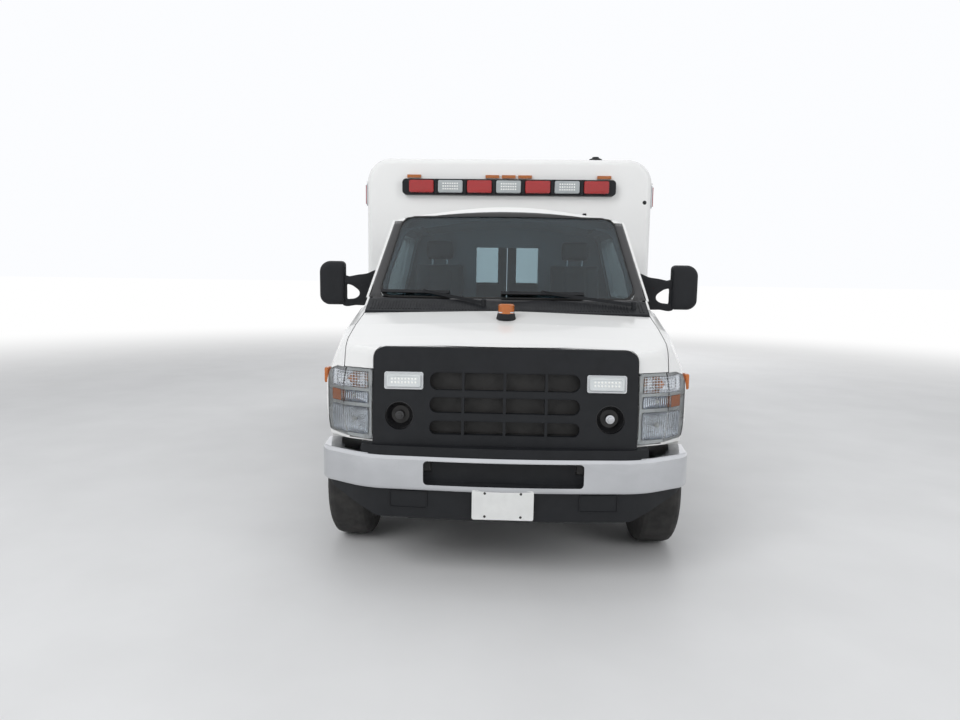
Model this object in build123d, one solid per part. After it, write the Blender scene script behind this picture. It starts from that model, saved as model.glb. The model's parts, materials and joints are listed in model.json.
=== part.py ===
"""Ambulance: a cutaway van cab with a hollow box-shaped patient module behind it.

Millimetres. X points to the vehicle's left, Y to its rear and Z up. The origin lies on the ground under
the middle of the vehicle. Distances called d are measured rearwards from the front face of the bumper.
"""
from build123d import *
from math import cos, hypot, pi, sin
import os

# Overall layout
front_overhang = 800
wheelbase = 3505
cab_back = 2300
module_length = 3810
rear_step_depth = 200

# Wheels and tyres
tyre_radius = 372
tyre_width = 225
rim_radius = 203
rim_width = 165
front_track = 1763
rear_track = 1905
twin_spacing = 290
kingpin_x = 780
spindle_radius = 30
running_gap = 0.3
arch_radius = 450
liner_thickness = 12
module_arch_radius = 440

# Chassis
rail_outer_x = 430
rail_inner_x = 360
rail_bottom_z = 580
rail_top_z = 760
rail_sheet = 8
rail_front_d = 170

# Cab body
sill_z = 560
belt_z = 1385
cab_side_x = 1005
waist_low_z = 850
waist_high_z = 1020
cab_wall = 60
fender_wall = 45
hood_sheet = 30
hood_half_width = 825
hood_rear_d = 700
hood_edge_z = 1098
panel_gap = 6
screen_radius = 2600
screen_base_d = 830
screen_base_z = 1430
screen_rise = 570
screen_run = 490
screen_thickness = 8
screen_top_z = 2029
cab_roof_z = 2050
door_front_d = 1255
door_rear_d = 2185
door_bottom_z = 592
door_top_z = 1900
door_corner = 60
door_gap = 8
door_rear_gap = 16
jamb_thickness = 12
jamb_overlap = 20
seat_gap = 0.3
cab_floor_z = 800
floor_sheet = 40

# Nose of the cab
grille_half_width = 657.5
grille_bottom_z = 724
grille_top_z = 1210
grille_front_low_d = 80
grille_front_high_d = 120
grille_depth = 45
grille_corner = 60
lamp_inner_x = 670
lamp_outer_x = 936
lamp_bottom_z = 730
lamp_top_z = 1094

# Bumper
bumper_bottom_z = 501
bumper_top_z = 680
bumper_depth = 70
valance_bottom_z = 356

# Module box
module_half_width = 1143
module_bottom_z = 450
module_top_z = 2505
module_floor_z = 830
module_floor_sheet = 70
side_wall = 50
end_wall = 60
roof_corner = 190
end_edge_radius = 50

# Positions worked out from the sizes above
overall_length = cab_back + module_length + rear_step_depth
front_y = -overall_length / 2
front_axle_d = front_overhang
rear_axle_d = front_overhang + wheelbase
module_rear_d = cab_back + module_length
module_inner_x = module_half_width - side_wall
front_wheel_x = front_track / 2
rear_wheel_x = rear_track / 2
roof_split_z = module_top_z - roof_corner - 5
steer_sweep = hypot(tyre_radius, front_wheel_x - kingpin_x + tyre_width / 2) + 10


def y_at(d):
    """Y of a point that lies d behind the bumper face."""
    return front_y + d


def block(x0, x1, d0, d1, z0, z1):
    """Box between two X values, two distances and two heights."""
    centre = ((x0 + x1) / 2, y_at((d0 + d1) / 2), (z0 + z1) / 2)
    return Pos(*centre) * Box(abs(x1 - x0), d1 - d0, z1 - z0)


def outline(points, radii=0):
    """Closed face through the points, with its corners rounded."""
    return make_face(FilletPolyline(*points, radius=radii, close=True))


def side_slab(points, x0, x1, radii=0):
    """Outline of (d, z) points, extruded across the vehicle from x0 to x1."""
    face = outline([(y_at(d), z) for d, z in points], radii)
    plane = Plane(origin=(x0, 0, 0), x_dir=(0, 1, 0), z_dir=(1, 0, 0))
    return extrude(plane * face, amount=x1 - x0)


def front_slab(points, d0, d1, radii=0):
    """Outline of (x, z) points as seen from the front, extruded rearwards from d0 to d1."""
    plane = Plane(origin=(0, y_at(d1), 0), x_dir=(1, 0, 0), z_dir=(0, -1, 0))
    return extrude(plane * outline(points, radii), amount=d1 - d0)


def plan_slab(points, z0, z1, radii=0):
    """Outline of (x, d) points as seen from above, extruded up from z0 to z1."""
    face = outline([(x, y_at(d)) for x, d in points], radii)
    return extrude(Pos(0, 0, z0) * face, amount=z1 - z0)


def cylinder_x(radius, x0, x1, d, z):
    """Cylinder across the vehicle."""
    return Pos((x0 + x1) / 2, y_at(d), z) * Rot(0, 90, 0) * Cylinder(radius, abs(x1 - x0))


def cylinder_y(radius, x, d0, d1, z):
    """Cylinder along the vehicle."""
    return Pos(x, y_at((d0 + d1) / 2), z) * Rot(90, 0, 0) * Cylinder(radius, d1 - d0)


def cylinder_z(radius, x, d, z0, z1):
    """Upright cylinder."""
    return Pos(x, y_at(d), (z0 + z1) / 2) * Cylinder(radius, z1 - z0)


def both_sides(shape):
    """The shape and its mirror image, as one list of solids."""
    return Compound(children=list(shape.solids()) + list(mirror(shape, about=Plane.YZ).solids()))


def mirrored(shape):
    """The mirror image on the other side of the vehicle."""
    return mirror(shape, about=Plane.YZ)


def save(shape, node):
    """Write one node's solids."""
    export_step(shape, f"parts/{node}.step")


# Body forms of the cab

# distance, half width at the sill, at the waist, at the shoulder, shoulder height, crown height, rounding
NOSE_SECTIONS = [
    (125, 640, 660, 640, 1195, 1214, 30),
    (200, 790, 835, 795, 1208, 1235, 50),
    (300, 900, 945, 850, 1240, 1264, 70),
    (480, 945, 990, 875, 1292, 1316, 80),
    (870, 965, 1005, 885, belt_z, 1412, 80),
]


def nose_form(inset):
    """The whole front end as one closed form, drawn in by the inset."""
    sections = []
    for d, sill_x, waist_x, shoulder_x, shoulder_z, crown_z, rounding in NOSE_SECTIONS:
        half = [
            (sill_x - inset, sill_z),
            (waist_x - inset, waist_low_z),
            (waist_x - inset, waist_high_z),
            (shoulder_x - inset, shoulder_z - inset),
        ]
        points = half + [(0, crown_z - inset)] + [(-x, z) for x, z in reversed(half)]
        radii = [0, 200, 200, rounding, 6000, rounding, 200, 200, 0]
        plane = Plane(origin=(0, y_at(d + inset), 0), x_dir=(1, 0, 0), z_dir=(0, -1, 0))
        sections.append(plane * outline(points, radii))
    return loft(sections, ruled=True)


def cabin_form(inset):
    """The passenger cab as one closed form, drawn in by the inset, open at the bottom and back if inset."""
    bottom_z = sill_z if inset == 0 else sill_z - 100
    back_d = cab_back if inset == 0 else cab_back + 100
    half = [
        (965 - inset, bottom_z),
        (cab_side_x - inset, waist_low_z),
        (cab_side_x - inset, waist_high_z),
        (885 - inset, belt_z),
        (768 - inset, 1945 - inset),
    ]
    points = half + [(0, 2045 - inset)] + [(-x, z) for x, z in reversed(half)]
    radii = [0, 200, 200, 300, 90, 2500, 90, 300, 200, 200, 0]
    across = front_slab(points, 700, back_d, radii)
    screen_top_d = screen_base_d + screen_run * (screen_top_z - screen_base_z) / screen_rise
    profile = [
        (screen_base_d - 80 + inset, bottom_z),
        (screen_base_d - 80 + inset, screen_base_z - 35),
        (screen_base_d + inset, screen_base_z),
        (screen_top_d + inset, screen_top_z - inset),
        (screen_top_d + 355, cab_roof_z - inset),
        (back_d, cab_roof_z - inset),
        (back_d, bottom_z),
    ]
    along = side_slab(profile, -1100, 1100, [0, 0, 0, 60, 300, 0, 0])
    return across & along & screen_form(inset)


def screen_form(inset):
    """Large round form whose front is the windscreen's curved surface."""
    slope = Vector(0, screen_run, screen_rise).normalized()
    outward = Vector(0, -screen_rise, screen_run).normalized()
    base = Vector(0, y_at(screen_base_d), screen_base_z)
    centre = base - outward * screen_radius
    plane = Plane(origin=centre - slope * 3000, x_dir=(1, 0, 0), z_dir=slope)
    return extrude(plane * Circle(screen_radius - inset), amount=6000)


nose_outer = nose_form(0)
cabin_outer = cabin_form(0)
cabin_inner = cabin_form(cab_wall)

# Cutters that split the cab into its panels
lamp_outline = [
    (lamp_inner_x, lamp_bottom_z),
    (lamp_outer_x, lamp_bottom_z + 15),
    (lamp_outer_x, lamp_top_z - 25),
    (lamp_outer_x - 60, lamp_top_z),
    (lamp_inner_x, lamp_top_z),
]
lamp_cutter = front_slab(lamp_outline, 50, 480, [25, 30, 30, 30, 15])
screen_cutter = front_slab(
    [(-815, 1428), (815, 1428), (712, 1965), (-712, 1965)], 700, 1650, [70, 70, 90, 90]
)


def door_slab(grow, rear_grow, x0, x1):
    """The door's side view, larger by grow on every side."""
    points = [
        (door_front_d - grow, door_bottom_z - grow),
        (door_front_d - grow, door_top_z - 300 + grow / 2),
        (door_front_d + 258 - grow / 2, door_top_z + grow),
        (door_rear_d + rear_grow, door_top_z + grow),
        (door_rear_d + rear_grow, door_bottom_z - grow),
    ]
    rear_corner = max(door_corner / 3, 100 - 4 * rear_grow)
    return side_slab(points, x0, x1, [door_corner, 80, door_corner, rear_corner, door_corner])


window_points = [
    (door_front_d + 80, belt_z + 40),
    (door_front_d + 80, door_top_z - 315),
    (door_front_d + 290, door_top_z - 58),
    (door_rear_d - 70, door_top_z - 58),
    (door_rear_d - 70, belt_z + 40),
]
window_slab = side_slab(window_points, 600, 1100, [30, 60, 60, 60, 40])


def make_cab_doors():
    """Left door with its glass; the right one is its mirror image."""
    skin = cabin_outer - cabin_inner
    door = (skin & door_slab(0, 0, 600, 1100)) - window_slab
    glass = (cabin_form(22) - cabin_form(28)) & window_slab
    save(door, "cab_door_left")
    save(mirrored(door), "cab_door_right")
    save(glass, "cab_glass_left")
    save(mirrored(glass), "cab_glass_right")


def make_cab_shell():
    """Roof, pillars and sills, with the jambs that the doors close against."""
    shell = cabin_outer - cabin_inner
    ring_form = cabin_form(cab_wall - 2) - cabin_form(cab_wall + jamb_thickness)
    door_space = cabin_outer - cabin_form(cab_wall + seat_gap)
    front_part = block(-1100, 1100, 600, door_front_d - door_gap, sill_z - 10, belt_z)
    shell = shell - front_part - screen_cutter
    for side in (1, -1):
        opening = door_slab(door_gap, door_rear_gap, side * 600, side * 1100)
        frame_outer = door_slab(door_gap + 15, door_rear_gap + 15, side * 600, side * 1100)
        frame_inner = door_slab(-jamb_overlap, -jamb_overlap, side * 600, side * 1100)
        ring = (ring_form & frame_outer) - frame_inner
        shell = (shell - opening) + (ring - (door_space & opening))
    save(shell, "cab_shell")


def make_screen():
    """Curved windscreen, seated in the shell's opening."""
    band = screen_form(4) - screen_form(4 + screen_thickness)
    save(band & screen_cutter & block(-900, 900, 700, 1650, 1400, 2000), "windscreen")


def grille_face(z):
    """Distance of the grille's front face at one height."""
    share = (z - grille_bottom_z) / (grille_top_z - grille_bottom_z)
    return grille_front_low_d + share * (grille_front_high_d - grille_front_low_d)


def sloped_slab(offset, depth, x0, x1, z0, z1):
    """Slab parallel to the grille's face, starting offset behind it."""
    points = [
        (grille_face(z0) + offset, z0),
        (grille_face(z1) + offset, z1),
        (grille_face(z1) + offset + depth, z1),
        (grille_face(z0) + offset + depth, z0),
    ]
    return side_slab(points, x0, x1)


def grille_outline(grow):
    """The grille panel's front view, larger by grow."""
    half = grille_half_width + grow
    points = [
        (-half, grille_bottom_z - grow),
        (half, grille_bottom_z - grow),
        (half, grille_top_z + grow),
        (-half, grille_top_z + grow),
    ]
    return points, [15, 15, grille_corner + grow, grille_corner + grow]


# Grille openings: lower edge, upper edge
GRILLE_ROWS = [(1090, 997), (967, 883.5), (849, 775)]
slot_half_width = 376
grille_bar_x = 207
grille_bar_width = 14
speaker_x = 525.5
speaker_z = 868
speaker_hole = 75
grille_lamp_x = 503.5
grille_lamp_z = 1045
grille_lamp_width = 195
grille_lamp_height = 87


def make_grille():
    """Black grille panel with three rows of slots, two speaker holes and two lamp pockets."""
    points, radii = grille_outline(0)
    panel = sloped_slab(0, grille_depth, -700, 700, grille_bottom_z, grille_top_z)
    panel = panel & front_slab(points, 0, 300, radii)
    for top_z, bottom_z in GRILLE_ROWS:
        height = top_z - bottom_z
        slot = [
            (-slot_half_width, bottom_z),
            (slot_half_width, bottom_z),
            (slot_half_width, top_z),
            (-slot_half_width, top_z),
        ]
        cutter = front_slab(slot, 0, 300, height * 0.45)
        for bar_x in (-grille_bar_x, 0, grille_bar_x):
            cutter = cutter - block(bar_x - grille_bar_width / 2, bar_x + grille_bar_width / 2, 0, 300,
                                    bottom_z - 5, top_z + 5)
        panel = panel - cutter
    for side in (1, -1):
        panel = panel - cylinder_y(speaker_hole, side * speaker_x, 0, 300, speaker_z)
        panel = panel - lamp_pocket(side)
    save(panel, "grille")


def lamp_pocket(side):
    """Pocket in the grille for one warning lamp."""
    return block(side * grille_lamp_x - grille_lamp_width / 2 + 8, side * grille_lamp_x + grille_lamp_width / 2 - 8,
                 0, 135, grille_lamp_z - grille_lamp_height / 2 + 8, grille_lamp_z + grille_lamp_height / 2 - 8)


def make_radiator_support():
    """Panel behind the grille that carries it and the lamps, with the radiator."""
    low = sloped_slab(grille_depth, 30, -880, 880, rail_top_z, 1085)
    high = sloped_slab(grille_depth, 30, -640, 640, 1080, 1150)
    window = block(-385, 385, 100, 300, 775, 1095)
    radiator = sloped_slab(grille_depth + 28, 60, -400, 400, rail_top_z, 1110)
    support = (low + high - window + radiator) & nose_form(9)
    post = block(-40, 40, 175, 195, 1140, 1260) & nose_form(hood_sheet + seat_gap)
    support = support + post
    save(support, "radiator_support")


def make_speakers():
    """Two round siren speakers behind the grille's holes."""
    horn = cylinder_y(speaker_hole - 2, speaker_x, 100, 230, speaker_z)
    mouth = Pos(speaker_x, y_at(100 + 30), speaker_z) * Rot(90, 0, 0) * Cone(30, 68, 62)
    horn = horn - mouth + cylinder_y(22, speaker_x, 108, 165, speaker_z)
    horn = horn & sloped_slab(-100, 100 + grille_depth, 400, 700, 700, 1000)
    save(both_sides(horn), "siren_speakers")


def make_grille_lamps():
    """Two rectangular lamps, each a bezel on the grille's face with its body in the pocket."""
    z0 = grille_lamp_z - grille_lamp_height / 2
    z1 = grille_lamp_z + grille_lamp_height / 2
    x0 = grille_lamp_x - grille_lamp_width / 2
    x1 = grille_lamp_x + grille_lamp_width / 2
    bezel = sloped_slab(-9, 9, x0, x1, z0, z1)
    lens = sloped_slab(-14, 14, x0 + 14, x1 - 14, z0 + 14, z1 - 14)
    body = block(x0 + 8, x1 - 8, 105, 135, z0 + 8, z1 - 8)
    lamp = fillet(bezel.edges().filter_by(Axis.Y, tolerance=8), 12) + lens + body
    save(both_sides(lamp), "grille_lamps")


def make_headlamps():
    """Housings and clear lenses that follow the nose."""
    under_lens = nose_form(8)
    lens = (nose_outer - under_lens) & lamp_cutter
    housing = (under_lens - nose_form(60)) & lamp_cutter
    housing = housing - sloped_slab(grille_depth - 1, 40, 600, 900, 700, 1085)
    save(both_sides(lens), "headlamp_lenses")
    save(both_sides(housing), "headlamps")


def make_fenders():
    """Front fenders with round wheel arches and liners."""
    front = nose_outer - nose_form(fender_wall)
    rear = (cabin_outer - cabin_form(fender_wall)) & block(0, 1100, 870, door_front_d - door_gap, sill_z, belt_z)
    fender = (front & block(0, 1100, 0, 870, sill_z, belt_z)) + rear
    fender = fender - block(0, hood_half_width + panel_gap, 0, 1300, hood_edge_z - panel_gap, 1500)
    fender = fender - block(0, lamp_inner_x, 0, 1300, 400, 1500)
    fender = fender - lamp_cutter - lamp_cutter_back()
    liner = cylinder_x(arch_radius + liner_thickness, 600, 940, front_axle_d, tyre_radius)
    liner = liner & block(600, 940, 0, door_front_d - door_gap, sill_z, 900)
    fender = fender + liner - cylinder_x(arch_radius, 500, 1100, front_axle_d, tyre_radius)
    fender = fender - block(0, 1100, 0, 430, 400, grille_bottom_z)
    save(both_sides(fender), "fenders")


def lamp_cutter_back():
    """Clears the space behind the headlamp."""
    return block(600, 800, 0, 300, lamp_bottom_z, lamp_top_z)


def make_hood():
    """Hood panel with its rounded front edge over the grille and headlamps."""
    skin = nose_outer - nose_form(hood_sheet)
    hood = skin & block(-hood_half_width, hood_half_width, 0, hood_rear_d, hood_edge_z, 1500)
    points, radii = grille_outline(panel_gap)
    hood = hood - front_slab(points, 0, grille_front_high_d + grille_depth + panel_gap, radii)
    save(hood, "hood")


beacon_d = 560
beacon_z = 1338
beacon_radius = 53


def make_beacon():
    """Round beacon on a tapered base in the middle of the hood."""
    base = Pos(0, y_at(beacon_d), beacon_z + 10) * Cone(beacon_radius, beacon_radius - 6, 24)
    dome = Pos(0, y_at(beacon_d), beacon_z + 50) * Cylinder(beacon_radius - 8, 58)
    beacon = base + fillet(dome.edges().group_by(Axis.Z)[-1], 14) - nose_outer
    save(beacon, "hood_beacon")


def make_cowl():
    """Black cowl between the hood and the windscreen, with the wipers that it carries."""
    profile = [
        (hood_rear_d + panel_gap, 1325),
        (hood_rear_d + panel_gap, 1362),
        (830, 1426),
        (1010, 1426),
        (1010, belt_z),
        (900, belt_z),
        (850, 1325),
    ]
    cowl = side_slab(profile, -hood_half_width, hood_half_width) - cabin_outer
    for pivot_x, joint_x, blade_x0, blade_x1 in WIPERS:
        cowl = cowl + wiper(pivot_x, joint_x, blade_x0, blade_x1)
    save(cowl, "cowl")


# Wipers: X of the pivot, of the arm's joint on the blade, and of the blade's two ends
WIPERS = [(-134, -505, -785, -350), (744, 218, -33, 469)]
wiper_pivot_d = 765
wiper_blade_z = 1472
wiper_blade_height = 16
wiper_blade_depth = 22


def screen_point(x, z, lift):
    """Point over the windscreen's curved face at an X and a height."""
    slope = Vector(0, screen_run, screen_rise).normalized()
    outward = Vector(0, -screen_rise, screen_run).normalized()
    radius = screen_radius + lift
    depth = (radius ** 2 - x ** 2) ** 0.5 - screen_radius
    base = Vector(0, y_at(screen_base_d), screen_base_z) + outward * depth
    point = base + slope * ((z - base.Z) / slope.Z)
    return Vector(x, point.Y, z)


def bar_between(start, end, width, thickness):
    """Rectangular bar from one point to another, its width lying across the vehicle."""
    run = end - start
    plane = Plane(origin=start, x_dir=run.cross(Vector(0, 0, 1)), z_dir=run)
    return extrude(plane * Rectangle(thickness, width), amount=run.length)


def wiper(pivot_x, joint_x, blade_x0, blade_x1):
    """Wiper at rest: a boss on the cowl, a straight arm and a blade that follows the glass."""
    blade = screen_form(-wiper_blade_depth) - screen_form(4 - seat_gap)
    low_z = wiper_blade_z - wiper_blade_height / 2
    blade = blade & block(blade_x0, blade_x1, 700, 1200, low_z, low_z + wiper_blade_height)
    boss = cylinder_z(14, pivot_x, wiper_pivot_d, 1370, 1422)
    start = Vector(pivot_x, y_at(wiper_pivot_d), 1412)
    arm = bar_between(start, screen_point(joint_x, wiper_blade_z + 4, wiper_blade_depth - 4), 18, 10)
    return blade + boss + arm


def make_cab_floor():
    """Floor, toe board and firewall in one sheet, with the hollow engine cover."""
    under_z = cab_floor_z - floor_sheet
    profile = [
        (cab_back, under_z),
        (1270, under_z),
        (930, 1000),
        (930, belt_z),
        (960, belt_z),
        (960, 1018),
        (1282, cab_floor_z),
        (cab_back, cab_floor_z),
    ]
    floor = side_slab(profile, -940, 940) & cabin_form(cab_wall + jamb_thickness + 1)
    floor = floor + block(-300, 300, 935, 1700, under_z, 1120)
    floor = floor - block(-275, 275, 900, 1675, under_z - 10, 1095)
    save(floor, "cab_floor")
    return floor


def make_dashboard(floor):
    """Dashboard over the engine cover, with the steering wheel on its column."""
    profile = [(960, 1120), (960, 1380), (1130, 1392), (1330, 1345), (1395, 1250), (1340, 1080), (1100, 1060)]
    dash = side_slab(profile, -920, 920, [0, 0, 60, 60, 40, 60, 40])
    dash = (dash & cabin_form(cab_wall + jamb_thickness + 4)) - block(-301, 301, 900, 1500, 1000, 1121)
    centre = Pos(430, y_at(1500), 1250) * Rot(-62, 0, 0)
    wheel = centre * Torus(185, 15)
    spokes = centre * Box(360, 34, 18)
    boss = centre * Cylinder(60, 40)
    column = centre * Pos(0, 0, -110) * Cylinder(32, 240)
    save(dash + wheel + spokes + boss + column - floor, "dashboard")


def make_cab_seats():
    """Two seats, each with its base, cushion, back and head rest."""
    base = block(350, 715, 1680, 2020, cab_floor_z, 1010)
    cushion = fillet(block(320, 745, 1640, 2090, 1010, 1150).edges(), 35)
    lean = [(2030, 1120), (2120, 1680), (2205, 1680), (2160, 1120)]
    back = fillet(side_slab(lean, 320, 745).edges(), 30)
    rest = fillet(block(420, 645, 2125, 2210, 1670, 1850).edges(), 30)
    save(both_sides(base + cushion + back + rest), "cab_seats")


def bumper_band(grow, z0, z1, half_width=970, end_d=400, depth=bumper_depth):
    """Band that follows the bumper's curve in plan."""
    outer = [(-half_width, end_d), (-948, 200), (-690, 40), (0, -8.3), (690, 40), (948, 200), (half_width, end_d)]
    outer = [(x * (1 - grow / 970), d + grow) for x, d in outer]
    inner = [(x * (1 - depth / 970), d + depth) for x, d in reversed(outer)]
    inner[0] = (inner[0][0], end_d + grow)
    inner[-1] = (inner[-1][0], end_d + grow)
    radii = [0, 110, 450, 5000, 450, 110, 0, 0, 60, 400, 4800, 400, 60, 0]
    return plan_slab(outer + inner, z0, z1, radii)


def make_bumper():
    """Chrome bumper with a wide slot, its ends wrapped round the corners."""
    band = bumper_band(0, bumper_bottom_z, bumper_top_z)
    slot = front_slab([(-397, 535), (397, 535), (397, 657), (-397, 657)], -50, 300, 20)
    save(band - slot, "front_bumper")


def make_bumper_trim():
    """Black valance under the chrome and black pad on top of it."""
    valance = bumper_band(25, valance_bottom_z, bumper_bottom_z, depth=60)
    shape = [
        (-930, 501), (-900, 470), (-640, valance_bottom_z), (640, valance_bottom_z), (900, 470), (930, 501),
    ]
    valance = valance & front_slab(shape, -50, 500, [0, 20, 60, 60, 20, 0])
    pad = bumper_band(15, bumper_top_z, grille_bottom_z, depth=80) & block(-720, 720, -10, 300, 600, 800)
    backing = block(-440, 440, 80, 100, 490, 700)
    for side in (1, -1):
        backing = backing - block(side * (rail_inner_x + 2), side * (rail_outer_x + 2), 0, 200, 585, 665)
    backing = backing - bumper_band(0, bumper_bottom_z, bumper_top_z)
    trim = valance + pad + backing
    for side in (1, -1):
        trim = trim - cylinder_z(steer_sweep, side * kingpin_x, front_axle_d, 300, 600)
    save(trim, "bumper_trim")


# Chassis frame: distances of the cross members and their lower and upper edges
CROSS_MEMBERS = [(260, 600, 700), (1080, 580, 620), (2200, 640, 740), (3300, 640, 740), (4980, 680, 740),
                 (5700, 680, 740)]


def make_frame():
    """Two channel rails with cross members, front horns, spring hangers and engine mount."""
    rear_d = module_rear_d - 20
    rail = block(rail_inner_x, rail_outer_x, rail_front_d, rear_d, rail_bottom_z, rail_top_z)
    rail = rail - block(rail_inner_x - 5, rail_outer_x - rail_sheet, rail_front_d - 5, rear_d + 5,
                        rail_bottom_z + rail_sheet, rail_top_z - rail_sheet)
    horn = block(rail_inner_x + 8, rail_outer_x, 40, rail_front_d + 60, 590, 660)
    horn = horn - bumper_band(0, bumper_bottom_z - 1, bumper_top_z + 1, depth=bumper_depth + seat_gap)
    frame = rail + horn
    frame = frame + block(rail_outer_x - 1, 585, 750, 850, 600, 660)
    frame = frame + block(250, rail_outer_x, 745, 855, 490, rail_bottom_z + 1)
    for hanger_d in (rear_axle_d - 700, rear_axle_d + 700):
        frame = frame + block(rail_outer_x - 1, 535, hanger_d - 40, hanger_d + 40, 560, 660)
    frame = frame + mirrored(frame)
    for d, z0, z1 in CROSS_MEMBERS:
        frame = frame + block(-rail_outer_x + rail_sheet, rail_outer_x - rail_sheet, d - 40, d + 40, z0, z1)
    save(frame, "frame")


def make_suspension():
    """Front beams that cross over, coil springs and rear leaf springs."""
    solids = []
    for side in (1, -1):
        points = [(-340, 430), (-340, 490), (-250, 490), (330, 395), (745, 395), (745, 345), (330, 335), (-250, 430)]
        centre_d = front_axle_d - side * 30
        beam = front_slab([(x * side, z) for x, z in points], centre_d - 25, centre_d + 25, 8)
        eye = cylinder_z(32, side * kingpin_x, front_axle_d, 345, 395)
        neck = block(side * 700, side * 770, front_axle_d - 30, front_axle_d + 30, 345, 395)
        bore = cylinder_z(14 + running_gap, side * kingpin_x, front_axle_d, 300, 440)
        solids = solids + list((beam + eye + neck - bore).solids())
        solids = solids + list(coil_spring(side * 520).solids())
        solids = solids + list(leaf_spring(side * 500).solids())
    save(Compound(children=solids), "suspension")


def coil_spring(x):
    """Front spring as a ribbed column round its damper."""
    turns = 5
    low_z = 395
    high_z = 600
    pitch = (high_z - low_z) / turns
    points = [(0, low_z)]
    for turn in range(turns):
        z = low_z + turn * pitch
        points = points + [(45, z), (60, z + pitch * 0.3), (60, z + pitch * 0.5), (45, z + pitch * 0.8)]
    points = points + [(45, high_z), (0, high_z)]
    face = make_face(Polyline(*points, close=True))
    return Pos(x, y_at(front_axle_d - (30 if x > 0 else -30)), 0) * revolve(Plane.XZ * face, axis=Axis.Z)


def leaf_spring(x):
    """Rear leaf spring, a bowed pack of leaves."""
    half_span = 700
    eye_z = 520
    middle_z = 430
    pack = 40
    y_mid = y_at(rear_axle_d)
    lower = ThreePointArc((y_mid - half_span, eye_z), (y_mid, middle_z), (y_mid + half_span, eye_z))
    upper = ThreePointArc((y_mid + half_span, eye_z + pack), (y_mid, middle_z + pack), (y_mid - half_span, eye_z + pack))
    joins = [Line(lower @ 1, upper @ 0), Line(upper @ 1, lower @ 0)]
    plane = Plane(origin=(x - 32, 0, 0), x_dir=(0, 1, 0), z_dir=(1, 0, 0))
    return extrude(plane * make_face([lower, joins[0], upper, joins[1]]), amount=64)


def make_rear_axle():
    """Axle tube with the round differential case, brake drums, spring seats and propeller shaft."""
    tube = cylinder_x(50, -690, 690, rear_axle_d, tyre_radius)
    case = Pos(0, y_at(rear_axle_d), tyre_radius) * Sphere(165)
    case = case & block(-150, 150, rear_axle_d - 140, rear_axle_d + 170, 200, 560)
    nose = cylinder_y(60, 0, rear_axle_d - 290, rear_axle_d - 100, tyre_radius)
    axle = tube + case + nose
    for side in (1, -1):
        axle = axle + block(side * 465, side * 535, rear_axle_d - 60, rear_axle_d + 60, tyre_radius, 430)
        axle = axle + cylinder_x(150, side * 690, side * 850, rear_axle_d, tyre_radius)
        axle = axle + cylinder_x(spindle_radius, side * 790, side * 985, rear_axle_d, tyre_radius)
    start = Vector(0, y_at(2146), 560)
    end = Vector(0, y_at(rear_axle_d - 290 - running_gap), tyre_radius)
    run = end - start
    shaft = extrude(Plane(origin=start, z_dir=run) * Circle(42), amount=run.length - 30)
    save(Compound(children=list(axle.solids()) + list(shaft.solids())), "rear_axle")


def make_engine():
    """Engine and gearbox as one plain block."""
    block_part = fillet(block(-240, 240, 700, 1480, 620, 1080).edges(), 30)
    gearbox = block(-150, 150, 1440, 2140, 470, 760)
    taper = fillet(gearbox.edges().filter_by(Axis.Y), 60)
    save(block_part + taper, "engine")


def make_fuel_tank():
    """Tank between the rails behind the axle."""
    tank = fillet(block(-330, 330, 4900, 5780, 390, 680).edges(), 30)
    save(tank, "fuel_tank")


def make_exhaust():
    """Pipe and silencer along the right rail, with the outlet behind the rear wheel."""
    route = [
        (-200, y_at(1300), 560), (-260, y_at(1800), 480), (-260, y_at(2700), 480), (-560, y_at(3100), 480),
        (-560, y_at(3550), 480),
    ]
    path = FilletPolyline(*route, radius=[120, 150, 150])
    plane = Plane(origin=path @ 0, z_dir=path % 0)
    pipe = sweep(plane * Circle(32), path=path)
    silencer = fillet(cylinder_y(95, -260, 2000, 2600, 480).edges(), 25)
    hanger = block(-265, -255, 2190, 2230, 560, 640)
    save(pipe + silencer + hanger, "exhaust")


def make_tyre(centre_x):
    """One tyre with round shoulders and a shaped bead."""
    half = tyre_width / 2
    points = [
        (rim_radius, -71.9), (rim_radius + 16.5, -71.9), (rim_radius + 25, -95), (rim_radius + 85, -half),
        (tyre_radius - 28, -half + 6), (tyre_radius - 6, -half + 22), (tyre_radius, -half + 45),
        (tyre_radius, half - 45), (tyre_radius - 6, half - 22), (tyre_radius - 28, half - 6),
        (rim_radius + 85, half), (rim_radius + 25, 95), (rim_radius + 16.5, 71.9), (rim_radius, 71.9),
    ]
    face = make_face(FilletPolyline(*points, radius=[0, 3] + [12] * 10 + [3, 0], close=True))
    return turned_x(face, centre_x)


def turned_x(face, centre_x):
    """Revolves a face of (radius, offset) points about a line across the vehicle."""
    ring = revolve(Plane.XZ * face, axis=Axis.Z)
    return Pos(centre_x, 0, 0) * Rot(0, 90, 0) * ring


def rim_face(disc_offset, hub_in, hub_out):
    """Half section of a wheel: barrel, flanges, disc and hub, as (radius, offset) points."""
    half = rim_width / 2
    inner = rim_radius - 12
    bore = spindle_radius + running_gap
    points = [
        (bore, hub_in), (62, hub_in), (62, disc_offset - 6), (inner, disc_offset - 22), (inner, -half),
        (rim_radius + 14, -half), (rim_radius + 14, -half + 10), (rim_radius - 0.5, -half + 10),
        (rim_radius - 0.5, half - 10), (rim_radius + 14, half - 10), (rim_radius + 14, half),
        (inner, half), (inner, disc_offset - 8), (70, disc_offset + 8), (62, hub_out), (bore, hub_out),
    ]
    return make_face(Polyline(*points, close=True))


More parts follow.
